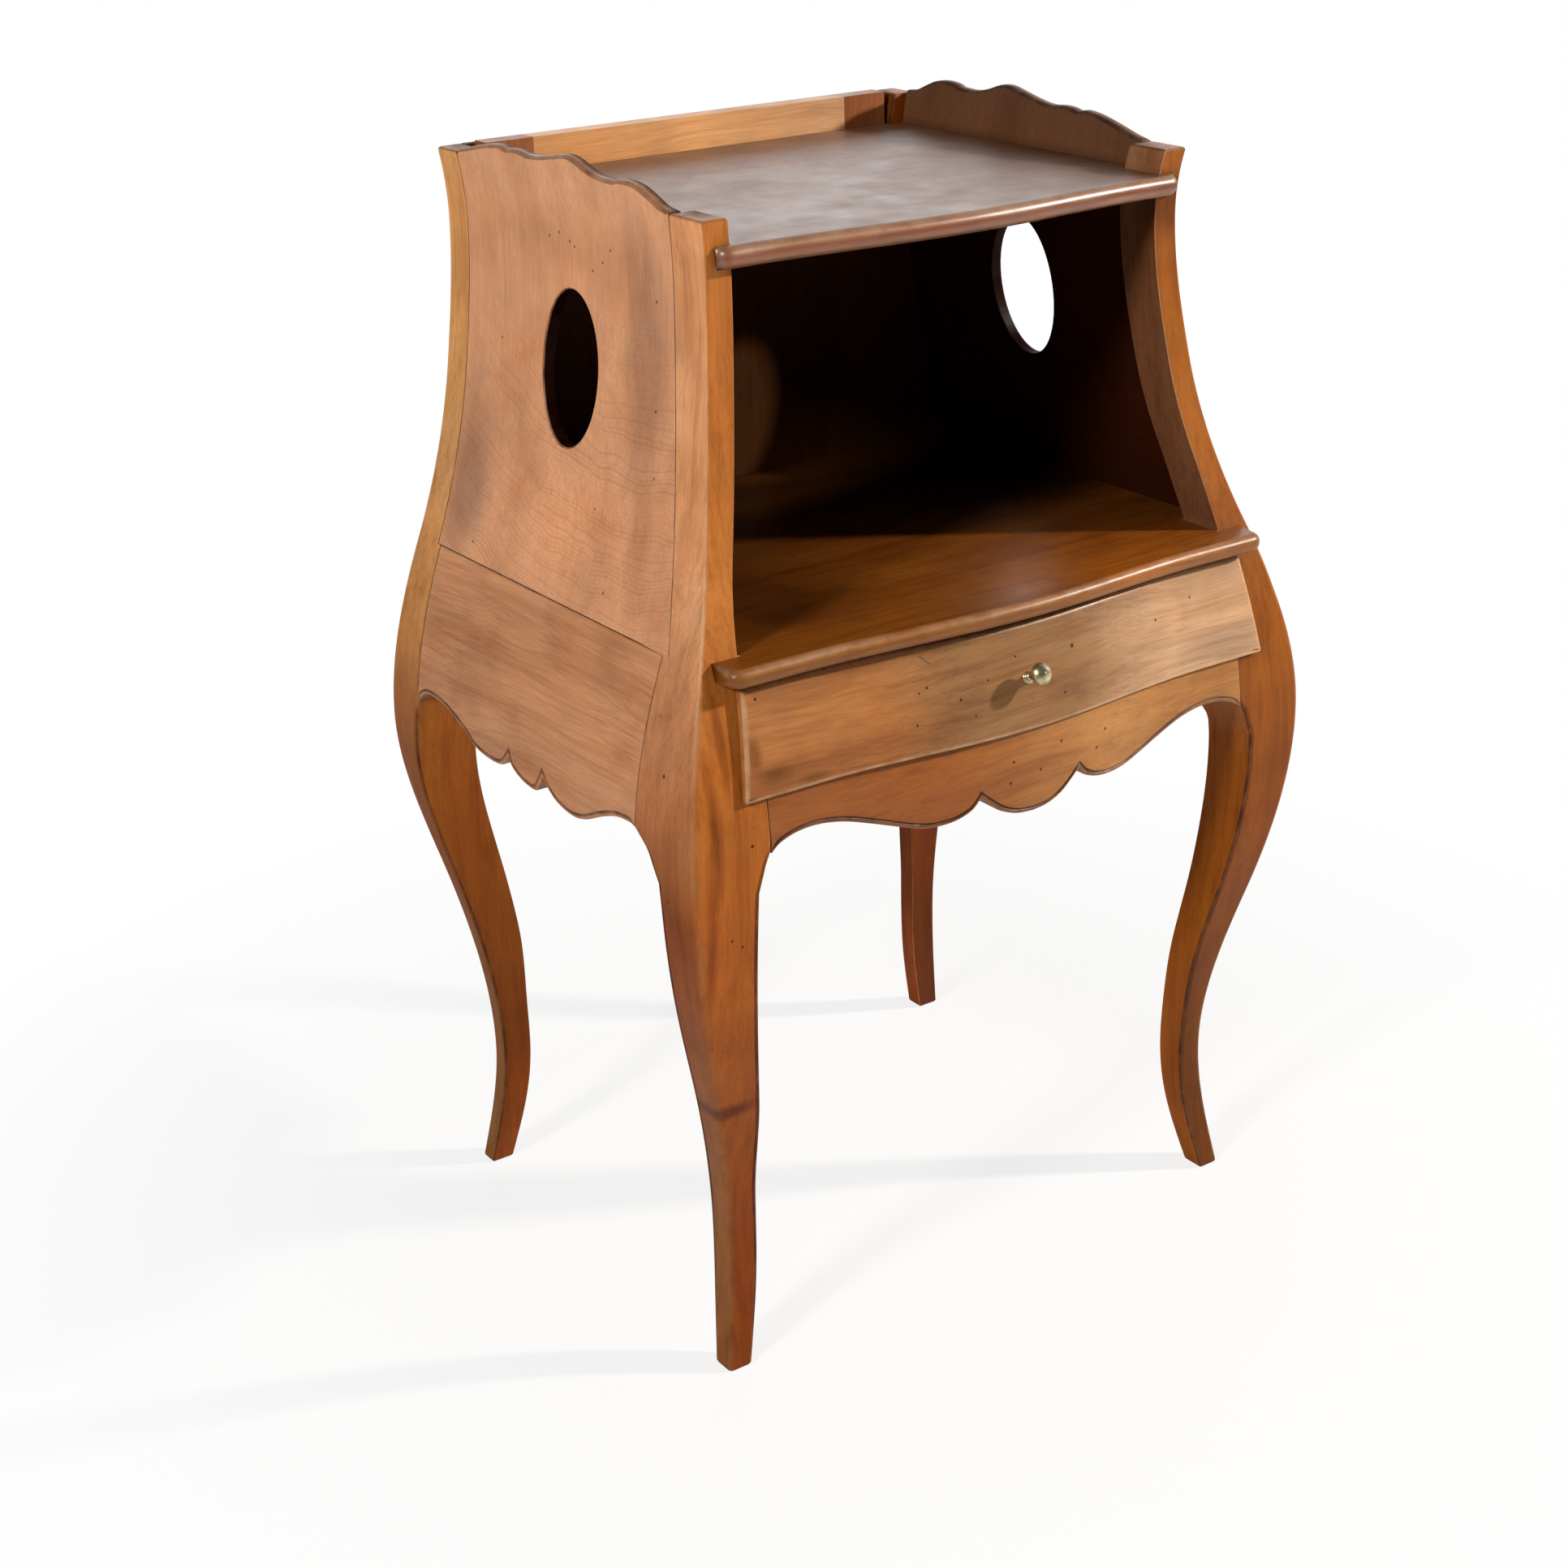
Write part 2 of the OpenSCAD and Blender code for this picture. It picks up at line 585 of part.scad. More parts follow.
module outer_back() color("saddlebrown") difference() {
    edge = concat(
        [[bay_half - glue, mirror_z], [bay_half - glue, shelf_top]],
        [for (p = neck_line(rear_post_h)) [max(back_half, p[0]) - glue, p[1]]]
    );
    front_prism(
        concat(edge, [for (p = reversed(edge)) [-p[0], p[1]]]), outer_back_y, outer_back_y + back_t);
    for (s = [-1, 1]) on_side(s) back_screw_bores(back_screw_d + 0.4, screw_tip);
}
// Batten that fills the space between the sliding mirror and the flaring post
module mirror_guide(s) color("saddlebrown") on_side(s) difference() {
    front_prism(
        concat(
            [[mirror_half + slide, mirror_z], [bay_half - glue, mirror_z], [bay_half - glue, shelf_top]],
            [for (p = guide_line) [p[0] - glue, p[1]]],
            [[mirror_half + slide, guide_top]]
        ), mirror_y, slot_y);
    back_screw_bores(back_screw_d, screw_tip);
}
module drawer_runner(s) color("burlywood") on_side(s) {
    z = box_z - 0.3;
    rail_face = out_x(z) - rail_t - 5 * glue;
    block([bay_half - runner_in, apron_back + glue, z - runner_t], [bay_half - glue, mirror_y + 1 - glue, z]);
    block([bay_half - glue - 1, rail_front + glue, z - runner_t], [rail_face, rail_rear - glue, z]);
}
module drawer_guide(s) color("burlywood") on_side(s)
    block([box_half + slide, rail_front + glue, box_z - 0.3 + glue],
        [box_half + slide + runner_t, rail_rear - glue, box_z + guide_h]);
module joint_pegs() color("saddlebrown")
    for (s = [-1, 1]) on_side(s) intersection() {
        peg_bodies(0);
        union() {
            front_post_solid();
            rear_post_solid();
        }
    }
module back_screws() color("darkgoldenrod")
    for (s = [-1, 1]) for (z = back_screw_zs) on_side(s)
        translate([back_screw_x, outer_back_y + back_t + 1.6, z]) rotate([90, 0, 0]) rotate_extrude($fn = 24)
            polygon([[0, 0], [1.6, 0.2], [2.7, 1], [2.9, 1.6 - glue], [back_screw_d / 2 - 0.05, 1.6 - glue],
                [back_screw_d / 2 - 0.05, back_screw_l], [0, back_screw_l + 1.4]]);

// Puts a piece whose middle line is Z on the middle line of the knob
module on_knob_line() translate([0, knob_seat, knob_z]) rotate([90 - knob_tilt, 0, 0]) children();

// Front of the drawer: a curved lip that covers the edges of its opening, and a block that fills the opening
function lip_half(z) = bay_half + overlap_low + (overlap_high - overlap_low) * (z - drawer_z) / drawer_h;
lip_gap = 0.5;
module drawer_front() color("tan") difference() {
    union() {
        loft([for (u = steps(-1, 1, 24))
            let (zs = steps(drawer_z, drawer_top, 5))
            concat(
                [for (z = reversed(zs)) let (x = u * lip_half(z)) [x, front_y(z) - sweep(x) - lip_gap, z]],
                [for (z = zs) let (x = u * lip_half(z)) [x, front_y(z) - sweep(x) - drawer_proud(z), z]]
            )]);
        loft([for (x = steps(-box_half, box_half, 24))
            let (zs = steps(box_z, drawer_top - 0.2, 3))
            concat(
                [[x, front_inner, drawer_top - 0.2], [x, front_inner, box_z]],
                [for (z = zs) [x, front_y(z) - sweep(x) - lip_gap - 1.5, z]]
            )]);
    }
    // Seat and bore of the knob
    on_knob_line() cylinder(d = 9.6, h = 12, $fn = 32);
    on_knob_line() translate([0, 0, -screw_l - 0.5]) cylinder(d = screw_d, h = screw_l + 1, $fn = 24);
    // Groove for the drawer bottom
    block([-box_half + box_t - groove_d, front_inner - groove_d, groove_z - glue],
        [box_half - box_t + groove_d, front_inner + 1, groove_z + bottom_t + glue]);
}
module drawer_side(s) color("saddlebrown") on_side(s) difference() {
    block([box_half - box_t, front_inner + glue, box_z], [box_half, box_rear, drawer_top]);
    block([box_half - box_t - 1, front_inner - 1, groove_z - glue],
        [box_half - box_t + groove_d, box_rear + 1, groove_z + bottom_t + glue]);
}
module drawer_back() color("saddlebrown")
    block([-box_half + box_t + glue, box_rear - box_t, groove_z + bottom_t + glue],
        [box_half - box_t - glue, box_rear, drawer_top - 6]);
module drawer_bottom() color("saddlebrown")
    block([-box_half + box_t - groove_d + glue, front_inner - groove_d + glue, groove_z],
        [box_half - box_t + groove_d - glue, box_rear, groove_z + bottom_t]);
module knob() color("gold") on_knob_line() translate([0, 0, glue / 2]) rotate_extrude($fn = 48) {
    r = knob_d / 2;
    l = knob_l;
    difference() {
        polygon([[0, 0], [4.4, 0], [4.4, 1.2], [3.4, 2.2], [2.9, 4.2], [2.9, 0.35 * l], [3.6, 0.47 * l], [0.72 * r, 0.55 * l],
            [0.95 * r, 0.6 * l], [r, 0.66 * l], [0.93 * r, 0.75 * l], [0.7 * r, 0.84 * l], [0.4 * r, 0.91 * l],
            [0.17 * r, 0.94 * l], [0.12 * r, 0.98 * l], [0, l]]);
        square([screw_d / 2, 0.45 * l]);
    }
}
module knob_screw() color("goldenrod") on_knob_line() rotate_extrude($fn = 32)
    polygon([[0, -screw_l], [screw_d / 5, -screw_l + 0.5], [screw_d / 2 - 0.05, -screw_l + 4],
        [screw_d / 2 - 0.05, 0.4 * knob_l], [0, 0.42 * knob_l]]);

// The mirror's frame, rebated from behind for the glass and its board
module mirror_rebate()
    block([-opening_half - rebate - glue, mirror_y + 4, glass_low - rebate - glue],
        [opening_half + rebate + glue, mirror_y + mirror_t + 1, glass_high + rebate + glue]);
spring_z = mirror_z + 25;
spring_l = 60;
spring_w = 8;
spring_t = 0.8;
module mirror_stile(s) color("peru") on_side(s) difference() {
    block([opening_half + glue / 2, mirror_y, mirror_z], [mirror_half, mirror_y + mirror_t, mirror_z + mirror_h]);
    mirror_rebate();
    // Pocket of the leaf spring
    block([mirror_half - 2.4, mirror_y + (mirror_t - spring_w) / 2 - 0.4, spring_z - 2],
        [mirror_half + 1, mirror_y + (mirror_t + spring_w) / 2 + 0.4, spring_z + spring_l + 2]);
}
module mirror_rail(z0, z1) difference() {
    block([-opening_half + glue / 2, mirror_y, z0], [opening_half - glue / 2, mirror_y + mirror_t, z1]);
    mirror_rebate();
}
module mirror_top_rail() color("sandybrown") mirror_rail(glass_high, mirror_z + mirror_h);
module mirror_bottom_rail() color("sandybrown") mirror_rail(mirror_z, glass_low);
module mirror_glass() color("lightsteelblue")
    block([-opening_half - rebate, glass_y, glass_low - rebate], [opening_half + rebate, glass_y + glass_t, glass_high + rebate]);
module mirror_backboard() color("burlywood")
    block([-opening_half - rebate, board_y, glass_low - rebate], [opening_half + rebate, board_y + board_t, glass_high + rebate]);
module backboard_beads() color("saddlebrown") {
    y0 = board_y + board_t + glue;
    w = opening_half + rebate;
    low = glass_low - rebate;
    high = glass_high + rebate;
    for (z = [low, high - bead]) block([-w, y0, z], [w, y0 + bead, z + bead]);
    for (x = [-w, w - bead]) block([x, y0, low + bead + glue], [x + bead, y0 + bead, high - bead - glue]);
}
// Blocks that meet the table top from below when the mirror is up
module mirror_stop_blocks() color("burlywood")
    for (s = [-1, 1]) on_side(s)
        block([opening_half - stop_w - 8, inner_back_y + back_t + slide, mirror_z],
            [opening_half - 8, mirror_y - glue, mirror_z + stop_h]);
// Bowed leaf springs that hold the mirror at any height
module mirror_springs() color("darkgoldenrod")
    for (s = [-1, 1]) on_side(s) {
        x0 = mirror_half - 2.2;
        line = [for (t = steps(0, 1, 10)) [x0 + 2 * sin(180 * t), spring_z + spring_l * t]];
        front_prism(
            concat(line, [for (p = reversed(line)) p + [spring_t, 0]]),
            mirror_y + (mirror_t - spring_w) / 2, mirror_y + (mirror_t + spring_w) / 2);
    }

placed() front_post(-1);  // front_left_post
placed() front_post(1);  // front_right_post
placed() rear_post(-1);  // rear_left_post
placed() rear_post(1);  // rear_right_post
placed() panel(-1);  // left_panel
placed() panel(1);  // right_panel
placed() side_rail(-1);  // left_side_rail
placed() side_rail(1);  // right_side_rail
placed() table_top();
placed() shelf();
placed() front_apron();
placed() rear_rail();
placed() inner_back();
placed() outer_back();
placed() mirror_guide(-1);  // left_mirror_guide
placed() mirror_guide(1);  // right_mirror_guide
placed() drawer_runner(-1);  // left_drawer_runner
placed() drawer_runner(1);  // right_drawer_runner
placed() drawer_guide(-1);  // left_drawer_guide
placed() drawer_guide(1);  // right_drawer_guide
placed() joint_pegs();
placed() back_screws();
placed() drawer_front();
placed() drawer_side(-1);  // drawer_left_side
placed() drawer_side(1);  // drawer_right_side
placed() drawer_back();
placed() drawer_bottom();
placed() knob();
placed() knob_screw();
placed() mirror_stile(-1);  // mirror_left_stile
placed() mirror_stile(1);  // mirror_right_stile
placed() mirror_top_rail();
placed() mirror_bottom_rail();
placed() mirror_glass();
placed() mirror_backboard();
placed() backboard_beads();
placed() mirror_stop_blocks();
placed() mirror_springs();
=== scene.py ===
"""Looks of a bombe side table of waxed fruitwood, with a brass knob and a mirror that slides up."""

import math

import bmesh
import bpy
from mathutils import Matrix, Vector


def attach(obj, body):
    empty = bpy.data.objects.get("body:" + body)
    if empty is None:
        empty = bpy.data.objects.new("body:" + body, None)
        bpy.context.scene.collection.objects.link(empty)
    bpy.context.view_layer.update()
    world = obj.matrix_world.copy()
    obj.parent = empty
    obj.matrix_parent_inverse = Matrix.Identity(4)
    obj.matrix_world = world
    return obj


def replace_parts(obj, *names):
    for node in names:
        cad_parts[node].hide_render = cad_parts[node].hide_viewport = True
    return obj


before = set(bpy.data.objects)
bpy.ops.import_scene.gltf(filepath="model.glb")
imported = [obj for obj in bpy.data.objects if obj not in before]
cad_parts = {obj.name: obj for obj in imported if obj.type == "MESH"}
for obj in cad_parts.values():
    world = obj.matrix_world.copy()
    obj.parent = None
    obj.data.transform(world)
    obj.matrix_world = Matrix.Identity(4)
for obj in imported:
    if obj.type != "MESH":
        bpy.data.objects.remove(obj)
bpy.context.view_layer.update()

# The case's named sizes, in millimetres. The front is at -Y and the middle of the case at y = 0, which is
# FRAME_Y in the part's frame.
HALF_W = 184.0
HALF_D = 156.5
POST_H = 740.0
REAR_POST_H = 745.0
FRAME_Y = 41.185
BAY_HALF = 192.0
PANEL_T = 9.0
RAIL_T = 16.0
STILE_D = 34.5
OVAL_Y = -4.0
OVAL_Z = 624.0
OVAL_HALF_W = 33.0
OVAL_HALF_H = 50.0
TOP_Z = 724.0
TOP_T = 14.0
TOP_HALF = 179.0
TOP_OVERHANG = 10.5
SHELF_TOP = 486.0
SHELF_T = 12.0
SHELF_OVERHANG = 24.5
PANEL_Z = 482.0
RAIL_ARCH_Z = 378.0
APRON_ARCH_Z = 376.5
APRON_TOP = 426.0
APRON_T = 17.0
RAIL_FRONT = -153.0
RAIL_REAR = 125.5
PANEL_REAR = 129.0
MIRROR_Y = 134.0
DRAWER_Z = 404.0
DRAWER_TOP = 470.5
LIP_T = 7.5
BLOCK_HALF = 190.5
BLOCK_Z = 427.0
BLOCK_T = 20.0
BLOCK_INNER = -186.63
KNOB_Z = 437.0
KNOB_SEAT = -225.87
KNOB_L = 22.0
KNOB_R = 7.2
KNOB_TILT = math.radians(24.6)
BOW = 12.5
BOW_HALF = 160.0
GAP = 0.15

# Curves of the posts as [height, outward offset or size, slope]
FRONT_CURVE = [
    [0, 29, -0.16], [95, 19.5, 0.02], [215, 41, 0.27], [357, 63, 0], [480, 38, -0.36],
    [600, 7.8, -0.13], [695, 0, 0], [740, 4.5, 0.2], [765, 9.5, 0.2],
]
REAR_CURVE = [[0, 22, -0.16], [95, 12, 0.02], [215, 32, 0.26]] + FRONT_CURVE[3:]
BACK_CURVE = [
    [0, -4.5, -0.15], [95, -14.5, 0], [215, -7.25, 0.13], [357, 7, 0], [480, 1.5, -0.05],
    [600, 0, 0], [765, 0, 0],
]
LEG_WIDTH = [
    [0, 16.5, 0.08], [60, 20.5, 0.03], [118, 22, 0.06], [187, 31.5, 0.1], [270, 39.5, 0.09],
    [345, 46, 0.08],
]
LEG_DEPTH = [
    [0, 16.5, 0.08], [60, 20, 0.03], [118, 21.5, 0.04], [187, 25.5, 0.09], [257, 34, 0.12], [335, 40, 0.05],
]
REAR_LEG_DEPTH = [
    [0, 15, 0.01], [160, 16.5, 0.02], [244, 19.5, 0.06], [300, 24.5, 0.14], [345, 33, 0.25],
]
LEG_TOP, WIDTH_AT_TOP, _ = LEG_WIDTH[-1]
DEPTH_TOP, DEPTH_AT_TOP, _ = LEG_DEPTH[-1]
REAR_DEPTH_AT_TOP = REAR_LEG_DEPTH[-1][1]
NECK_WIDTH = [[486, 26, -0.22], [540, 19.5, -0.01], [765, 18.5, 0]]


def along(curve, z):
    """Value at z of a curve of [place, value, slope] stations."""
    i = max([k for k in range(len(curve) - 1) if z >= curve[k][0]], default=0)
    a = curve[i]
    b = curve[i + 1]
    h = b[0] - a[0]
    t = (z - a[0]) / h
    t2 = t * t
    t3 = t2 * t
    return (
        (2 * t3 - 3 * t2 + 1) * a[1] + (t3 - 2 * t2 + t) * h * a[2]
        + (3 * t2 - 2 * t3) * b[1] + (t3 - t2) * h * b[2]
    )


def straight(stations, z):
    """Value at z on straight lines between (place, value) stations."""
    for (z0, a), (z1, b) in zip(stations, stations[1:]):
        if z <= z1:
            return a + (b - a) * max(0.0, z - z0) / (z1 - z0)
    return stations[-1][1]


def share_of(value, start, end):
    """How far a value lies on the way from start to end, from 0 to 1."""
    return min(1.0, max(0.0, (value - start) / (end - start)))


def out_x(z):
    return HALF_W + along(FRONT_CURVE, z)


def front_y(z):
    return -HALF_D - along(FRONT_CURVE, z)


def back_y(z):
    return HALF_D + along(BACK_CURVE, z)


def neck_x(z):
    return out_x(z) - along(NECK_WIDTH, z)


def sweep(x):
    """Forward sweep of the serpentine front."""
    return BOW * (1 + math.cos(math.pi * x / BOW_HALF)) / 2 if abs(x) < BOW_HALF else 0.0


def steps(a, b, n):
    """Places from a to b in n equal steps."""
    return [a + (b - a) * i / n for i in range(n + 1)]


def smooth_line(p, n):
    """Smooth line through a few points, n pieces between two of them."""
    line = []
    for i in range(len(p) - 1):
        a, b, c, d = p[max(i - 1, 0)], p[i], p[i + 1], p[min(i + 2, len(p) - 1)]
        for j in range(n):
            t = j / n
            line.append([
                b[k] + 0.5 * (t * (c[k] - a[k]) + t * t * (2 * a[k] - 5 * b[k] + 4 * c[k] - d[k])
                              + t ** 3 * (3 * b[k] - a[k] - 3 * c[k] + d[k]))
                for k in (0, 1)
            ])
    return line + [list(p[-1])]


def to_frame(x, y, z):
    """A point of the case, in millimetres, as a point of the part's frame in metres."""
    return Vector((x, y + FRAME_Y, z)) / 1000


# Camera and studio, in metres

FLOOR_HALF = 40


def add_camera():
    back = Vector((-0.5527, -0.7791, 0.2960)).normalized()
    level = Vector((0, 0, 1)).cross(back).normalized()
    over = back.cross(level)
    roll = math.radians(-1.30)
    right = level * math.cos(roll) + over * math.sin(roll)
    up = over * math.cos(roll) - level * math.sin(roll)
    data = bpy.data.cameras.new("camera")
    data.sensor_width = 36
    data.lens = 62.63
    data.shift_x = -0.02536
    data.shift_y = -0.1687
    data.clip_end = 100
    camera = bpy.data.objects.new("camera", data)
    turn = Matrix((right, up, back)).transposed().to_4x4()
    camera.matrix_world = Matrix.Translation((-1.0258, -1.4148, 1.0378)) @ turn
    bpy.context.scene.collection.objects.link(camera)
    bpy.context.scene.camera = camera


def add_lamp(name, place, target, size, power, colour):
    data = bpy.data.lights.new(name, "AREA")
    data.shape = "DISK"
    data.size = size
    data.energy = power
    data.color = colour
    lamp = bpy.data.objects.new(name, data)
    lamp.location = place
    lamp.rotation_euler = (Vector(target) - Vector(place)).to_track_quat("-Z", "Y").to_euler()
    bpy.context.scene.collection.objects.link(lamp)


def linear(r, g, b):
    """Linear colour of an sRGB colour given as 0 to 255."""
    parts = [c / 255 for c in (r, g, b)]
    return tuple(c / 12.92 if c <= 0.04045 else ((c + 0.055) / 1.055) ** 2.4 for c in parts) + (1.0,)


class Shader:
    """A material whose nodes are added and linked one by one."""

    def __init__(self, name, tree=None):
        self.material = None
        if tree is None:
            self.material = bpy.data.materials.new(name)
            self.material.use_nodes = True
            tree = self.material.node_tree
        self.tree = tree
        self.surface = tree.nodes.get("Principled BSDF")

    def node(self, kind, **settings):
        made = self.tree.nodes.new(kind)
        for key, value in settings.items():
            setattr(made, key, value)
        return made

    def put(self, socket, value):
        if isinstance(value, bpy.types.NodeSocket):
            self.tree.links.new(value, socket)
        else:
            socket.default_value = value

    def maths(self, operation, a, b=0.0):
        made = self.node("ShaderNodeMath", operation=operation)
        self.put(made.inputs[0], a)
        self.put(made.inputs[1], b)
        return made.outputs[0]

    def times(self, a, b):
        return self.maths("MULTIPLY", a, b)

    def vector(self, operation, a, b):
        made = self.node("ShaderNodeVectorMath", operation=operation)
        self.put(made.inputs[0], a)
        self.put(made.inputs[1], b)
        return made.outputs[0]

    def noise(self, place, scale, detail, roughness=0.5, output="Fac"):
        made = self.node("ShaderNodeTexNoise")
        self.put(made.inputs["Vector"], place)
        made.inputs["Scale"].default_value = scale
        made.inputs["Detail"].default_value = detail
        made.inputs["Roughness"].default_value = roughness
        return made.outputs[output]

    def spread(self, value, low, high, to_low=0.0, to_high=1.0):
        """Maps low...high to to_low...to_high, clamped."""
        made = self.node("ShaderNodeMapRange")
        for socket, number in zip(made.inputs, (value, low, high, to_low, to_high)):
            self.put(socket, number)
        return made.outputs[0]

    def mix(self, share, a, b, blend="MIX"):
        """Mixes two colours. The node's sockets for colours come after those for other values."""
        made = self.node("ShaderNodeMix", data_type="RGBA", blend_type=blend)
        self.put(made.inputs[0], share)
        self.put(made.inputs[6], a)
        self.put(made.inputs[7], b)
        return made.outputs[2]

    def tint(self, share, colour, factors):
        """A colour that is multiplied by factors to some share."""
        return self.mix(share, colour, (*factors, 1.0), "MULTIPLY")

    def attribute(self, name):
        return self.node("ShaderNodeAttribute", attribute_name=name).outputs["Fac"]

    def coordinates(self, kind):
        return self.node("ShaderNodeTexCoord").outputs[kind]

    def length(self, value):
        made = self.node("ShaderNodeVectorMath", operation="LENGTH")
        self.put(made.inputs[0], value)
        return made.outputs["Value"]

    def bump(self, height, strength, distance):
        made = self.node("ShaderNodeBump")
        made.inputs["Strength"].default_value = strength
        made.inputs["Distance"].default_value = distance
        self.put(made.inputs["Height"], height)
        self.put(self.surface.inputs["Normal"], made.outputs[0])

    def cover(self, share, other):
        """Mixes another shader over the surface and makes that the material's output."""
        both = self.node("ShaderNodeMixShader")
        self.put(both.inputs[0], share)
        self.put(both.inputs[1], self.surface.outputs[0])
        self.put(both.inputs[2], other.outputs[0])
        self.put(self.tree.nodes["Material Output"].inputs[0], both.outputs[0])


def add_studio():
    scene = bpy.context.scene
    scene.view_settings.view_transform = "Standard"
    world = bpy.data.worlds.new("studio")
    scene.world = world
    world.use_nodes = True
    sky = Shader("studio", world.node_tree)
    light = sky.tree.nodes["Background"]
    light.inputs["Color"].default_value = (1, 1, 1, 1)
    path = sky.node("ShaderNodeLightPath")

    # The camera sees a white world. The wood is lit by a dim one and mirrors a bright wall behind it.
    seen = sky.maths("MAXIMUM", path.outputs["Is Camera Ray"], path.outputs["Is Transmission Ray"])
    way = sky.node("ShaderNodeVectorMath", operation="DOT_PRODUCT")
    sky.put(way.inputs[0], sky.coordinates("Generated"))
    way.inputs[1].default_value = (0.5, 0.85, 0.0)
    wall = sky.spread(way.outputs["Value"], 0.1, 0.75, 0.08, 1.0)
    level = sky.spread(path.outputs["Is Glossy Ray"], 0, 1, 0.07, wall)
    sky.put(light.inputs["Strength"], sky.spread(seen, 0, 1, level, 1.0))

    bm = bmesh.new()
    bmesh.ops.create_grid(bm, x_segments=8, y_segments=8, size=FLOOR_HALF)
    paint = Shader("floor_paint")
    floor = finish_mesh("floor", bm, paint.material)
    place = paint.coordinates("Object")
    shade = paint.mix(paint.noise(place, 3.0, 3.0), linear(236, 236, 236), linear(240, 240, 240))
    paint.put(paint.surface.inputs["Base Color"], shade)
    paint.surface.inputs["Roughness"].default_value = 0.9
    paint.surface.inputs["Specular IOR Level"].default_value = 0.1

    # The camera sees the floor as plain white, but for a faint shadow near the table
    glow = paint.node("ShaderNodeEmission")
    glow.inputs["Color"].default_value = (1, 1, 1, 1)
    glow.inputs["Strength"].default_value = 1.0
    white = paint.spread(paint.length(place), 0.3, 0.8, 0.8, 1.0)
    seen = paint.node("ShaderNodeLightPath").outputs["Is Camera Ray"]
    paint.cover(paint.times(seen, white), glow)

    add_lamp("right", (2.54, -1.66, 1.97), (0, 0, 0.5), size=0.2, power=135, colour=(1.0, 0.95, 0.88))
    add_lamp("left", (-2.5, -0.85, 2.0), (0, 0, 0.5), size=0.5, power=62, colour=(1.0, 0.97, 0.94))
    add_lamp("back", (1.6, 2.3, 1.35), (0, 0, 0.7), size=2.0, power=8, colour=(1.0, 1.0, 1.0))


# Meshes


def finish_mesh(name, bm, material):
    mesh = bpy.data.meshes.new(name)
    bm.to_mesh(mesh)
    bm.free()
    mesh.shade_smooth()
    mesh.materials.append(material)
    made = bpy.data.objects.new(name, mesh)
    bpy.context.scene.collection.objects.link(made)
    return made


def finish_wood(name, bm, material):
    """A mesh whose broad faces stay flat beside their rounded edges."""
    made = finish_mesh(name, bm, material)
    weighted = made.modifiers.new("normals", "WEIGHTED_NORMAL")
    weighted.keep_sharp = True
    weighted.weight = 80
    return made


MARKS = ("wear", "dirt", "inside")


def marks(bm):
    """The layers that say where a surface is worn pale or has a painted highlight, where dirt and painted
    shade lie, and where it faces inward and takes painted shade.
    """
    layers = bm.verts.layers.float
    for key in MARKS:
        if layers.get(key) is None:
            layers.new(key)
    return [layers.get(key) for key in MARKS]


def skin(bm, rings):
    """Joins rings of (point, marks) into a closed skin."""
    layers = marks(bm)
    rows = []
    for ring in rings:
        row = []
        for point, values in ring:
            v = bm.verts.new(point)
            for layer, value in zip(layers, values):
                v[layer] = value
            row.append(v)
        rows.append(row)
    n = len(rows[0])
    for low, high in zip(rows, rows[1:]):
        for i in range(n):
            k = (i + 1) % n
            bm.faces.new((low[i], low[k], high[k], high[i]))
    return rows


# Section of the scratched bead along an arch, as (distance from the edge, depth, wear and highlight, dirt
# and shade); its groove and underside hold dirt and painted shade
BEAD = [
    (5.0, 0.0, 0.0, 0.1), (4.4, 0.5, 0.0, 1.0), (3.8, 0.6, 0.0, 1.0), (3.0, 0.15, 0.0, 0.95),
    (2.2, 0.05, 0.1, 0.5), (1.1, 0.4, 0.2, 0.35), (0.35, 1.05, 0.0, 0.6), (0.0, 1.9, 0.0, 0.7),
]


def rounding(radius, wear, dirt):
    """Section of a rounded edge, with as many points as the bead."""
    last = len(BEAD) - 1
    turn = [math.pi / 2 * k / last for k in range(last + 1)]
    return [
        (radius * (1 - math.sin(a)), radius * (1 - math.cos(a)), wear * math.sin(2 * a), dirt if k else 0.0)
        for k, a in enumerate(turn)
    ]


def bead(size):
    return [(inset * size, depth * size, wear, dirt) for inset, depth, wear, dirt in BEAD]


def corner(place, along_face, into_wood, section, inside=(0.0, 0.0), backward=False):
    """Points of a post's corner whose section runs from the face that along_face lies in to the other one.
    Inside holds the marks of the two faces."""
    points = [
        (place + along_face * inset + into_wood * depth, (wear, dirt, inside[k == len(section) - 1]))
        for k, (inset, depth, wear, dirt) in enumerate(section)
    ]
    return points[::-1] if backward else points


PX, NX, PY, NY = Vector((1, 0, 0)), Vector((-1, 0, 0)), Vector((0, 1, 0)), Vector((0, -1, 0))


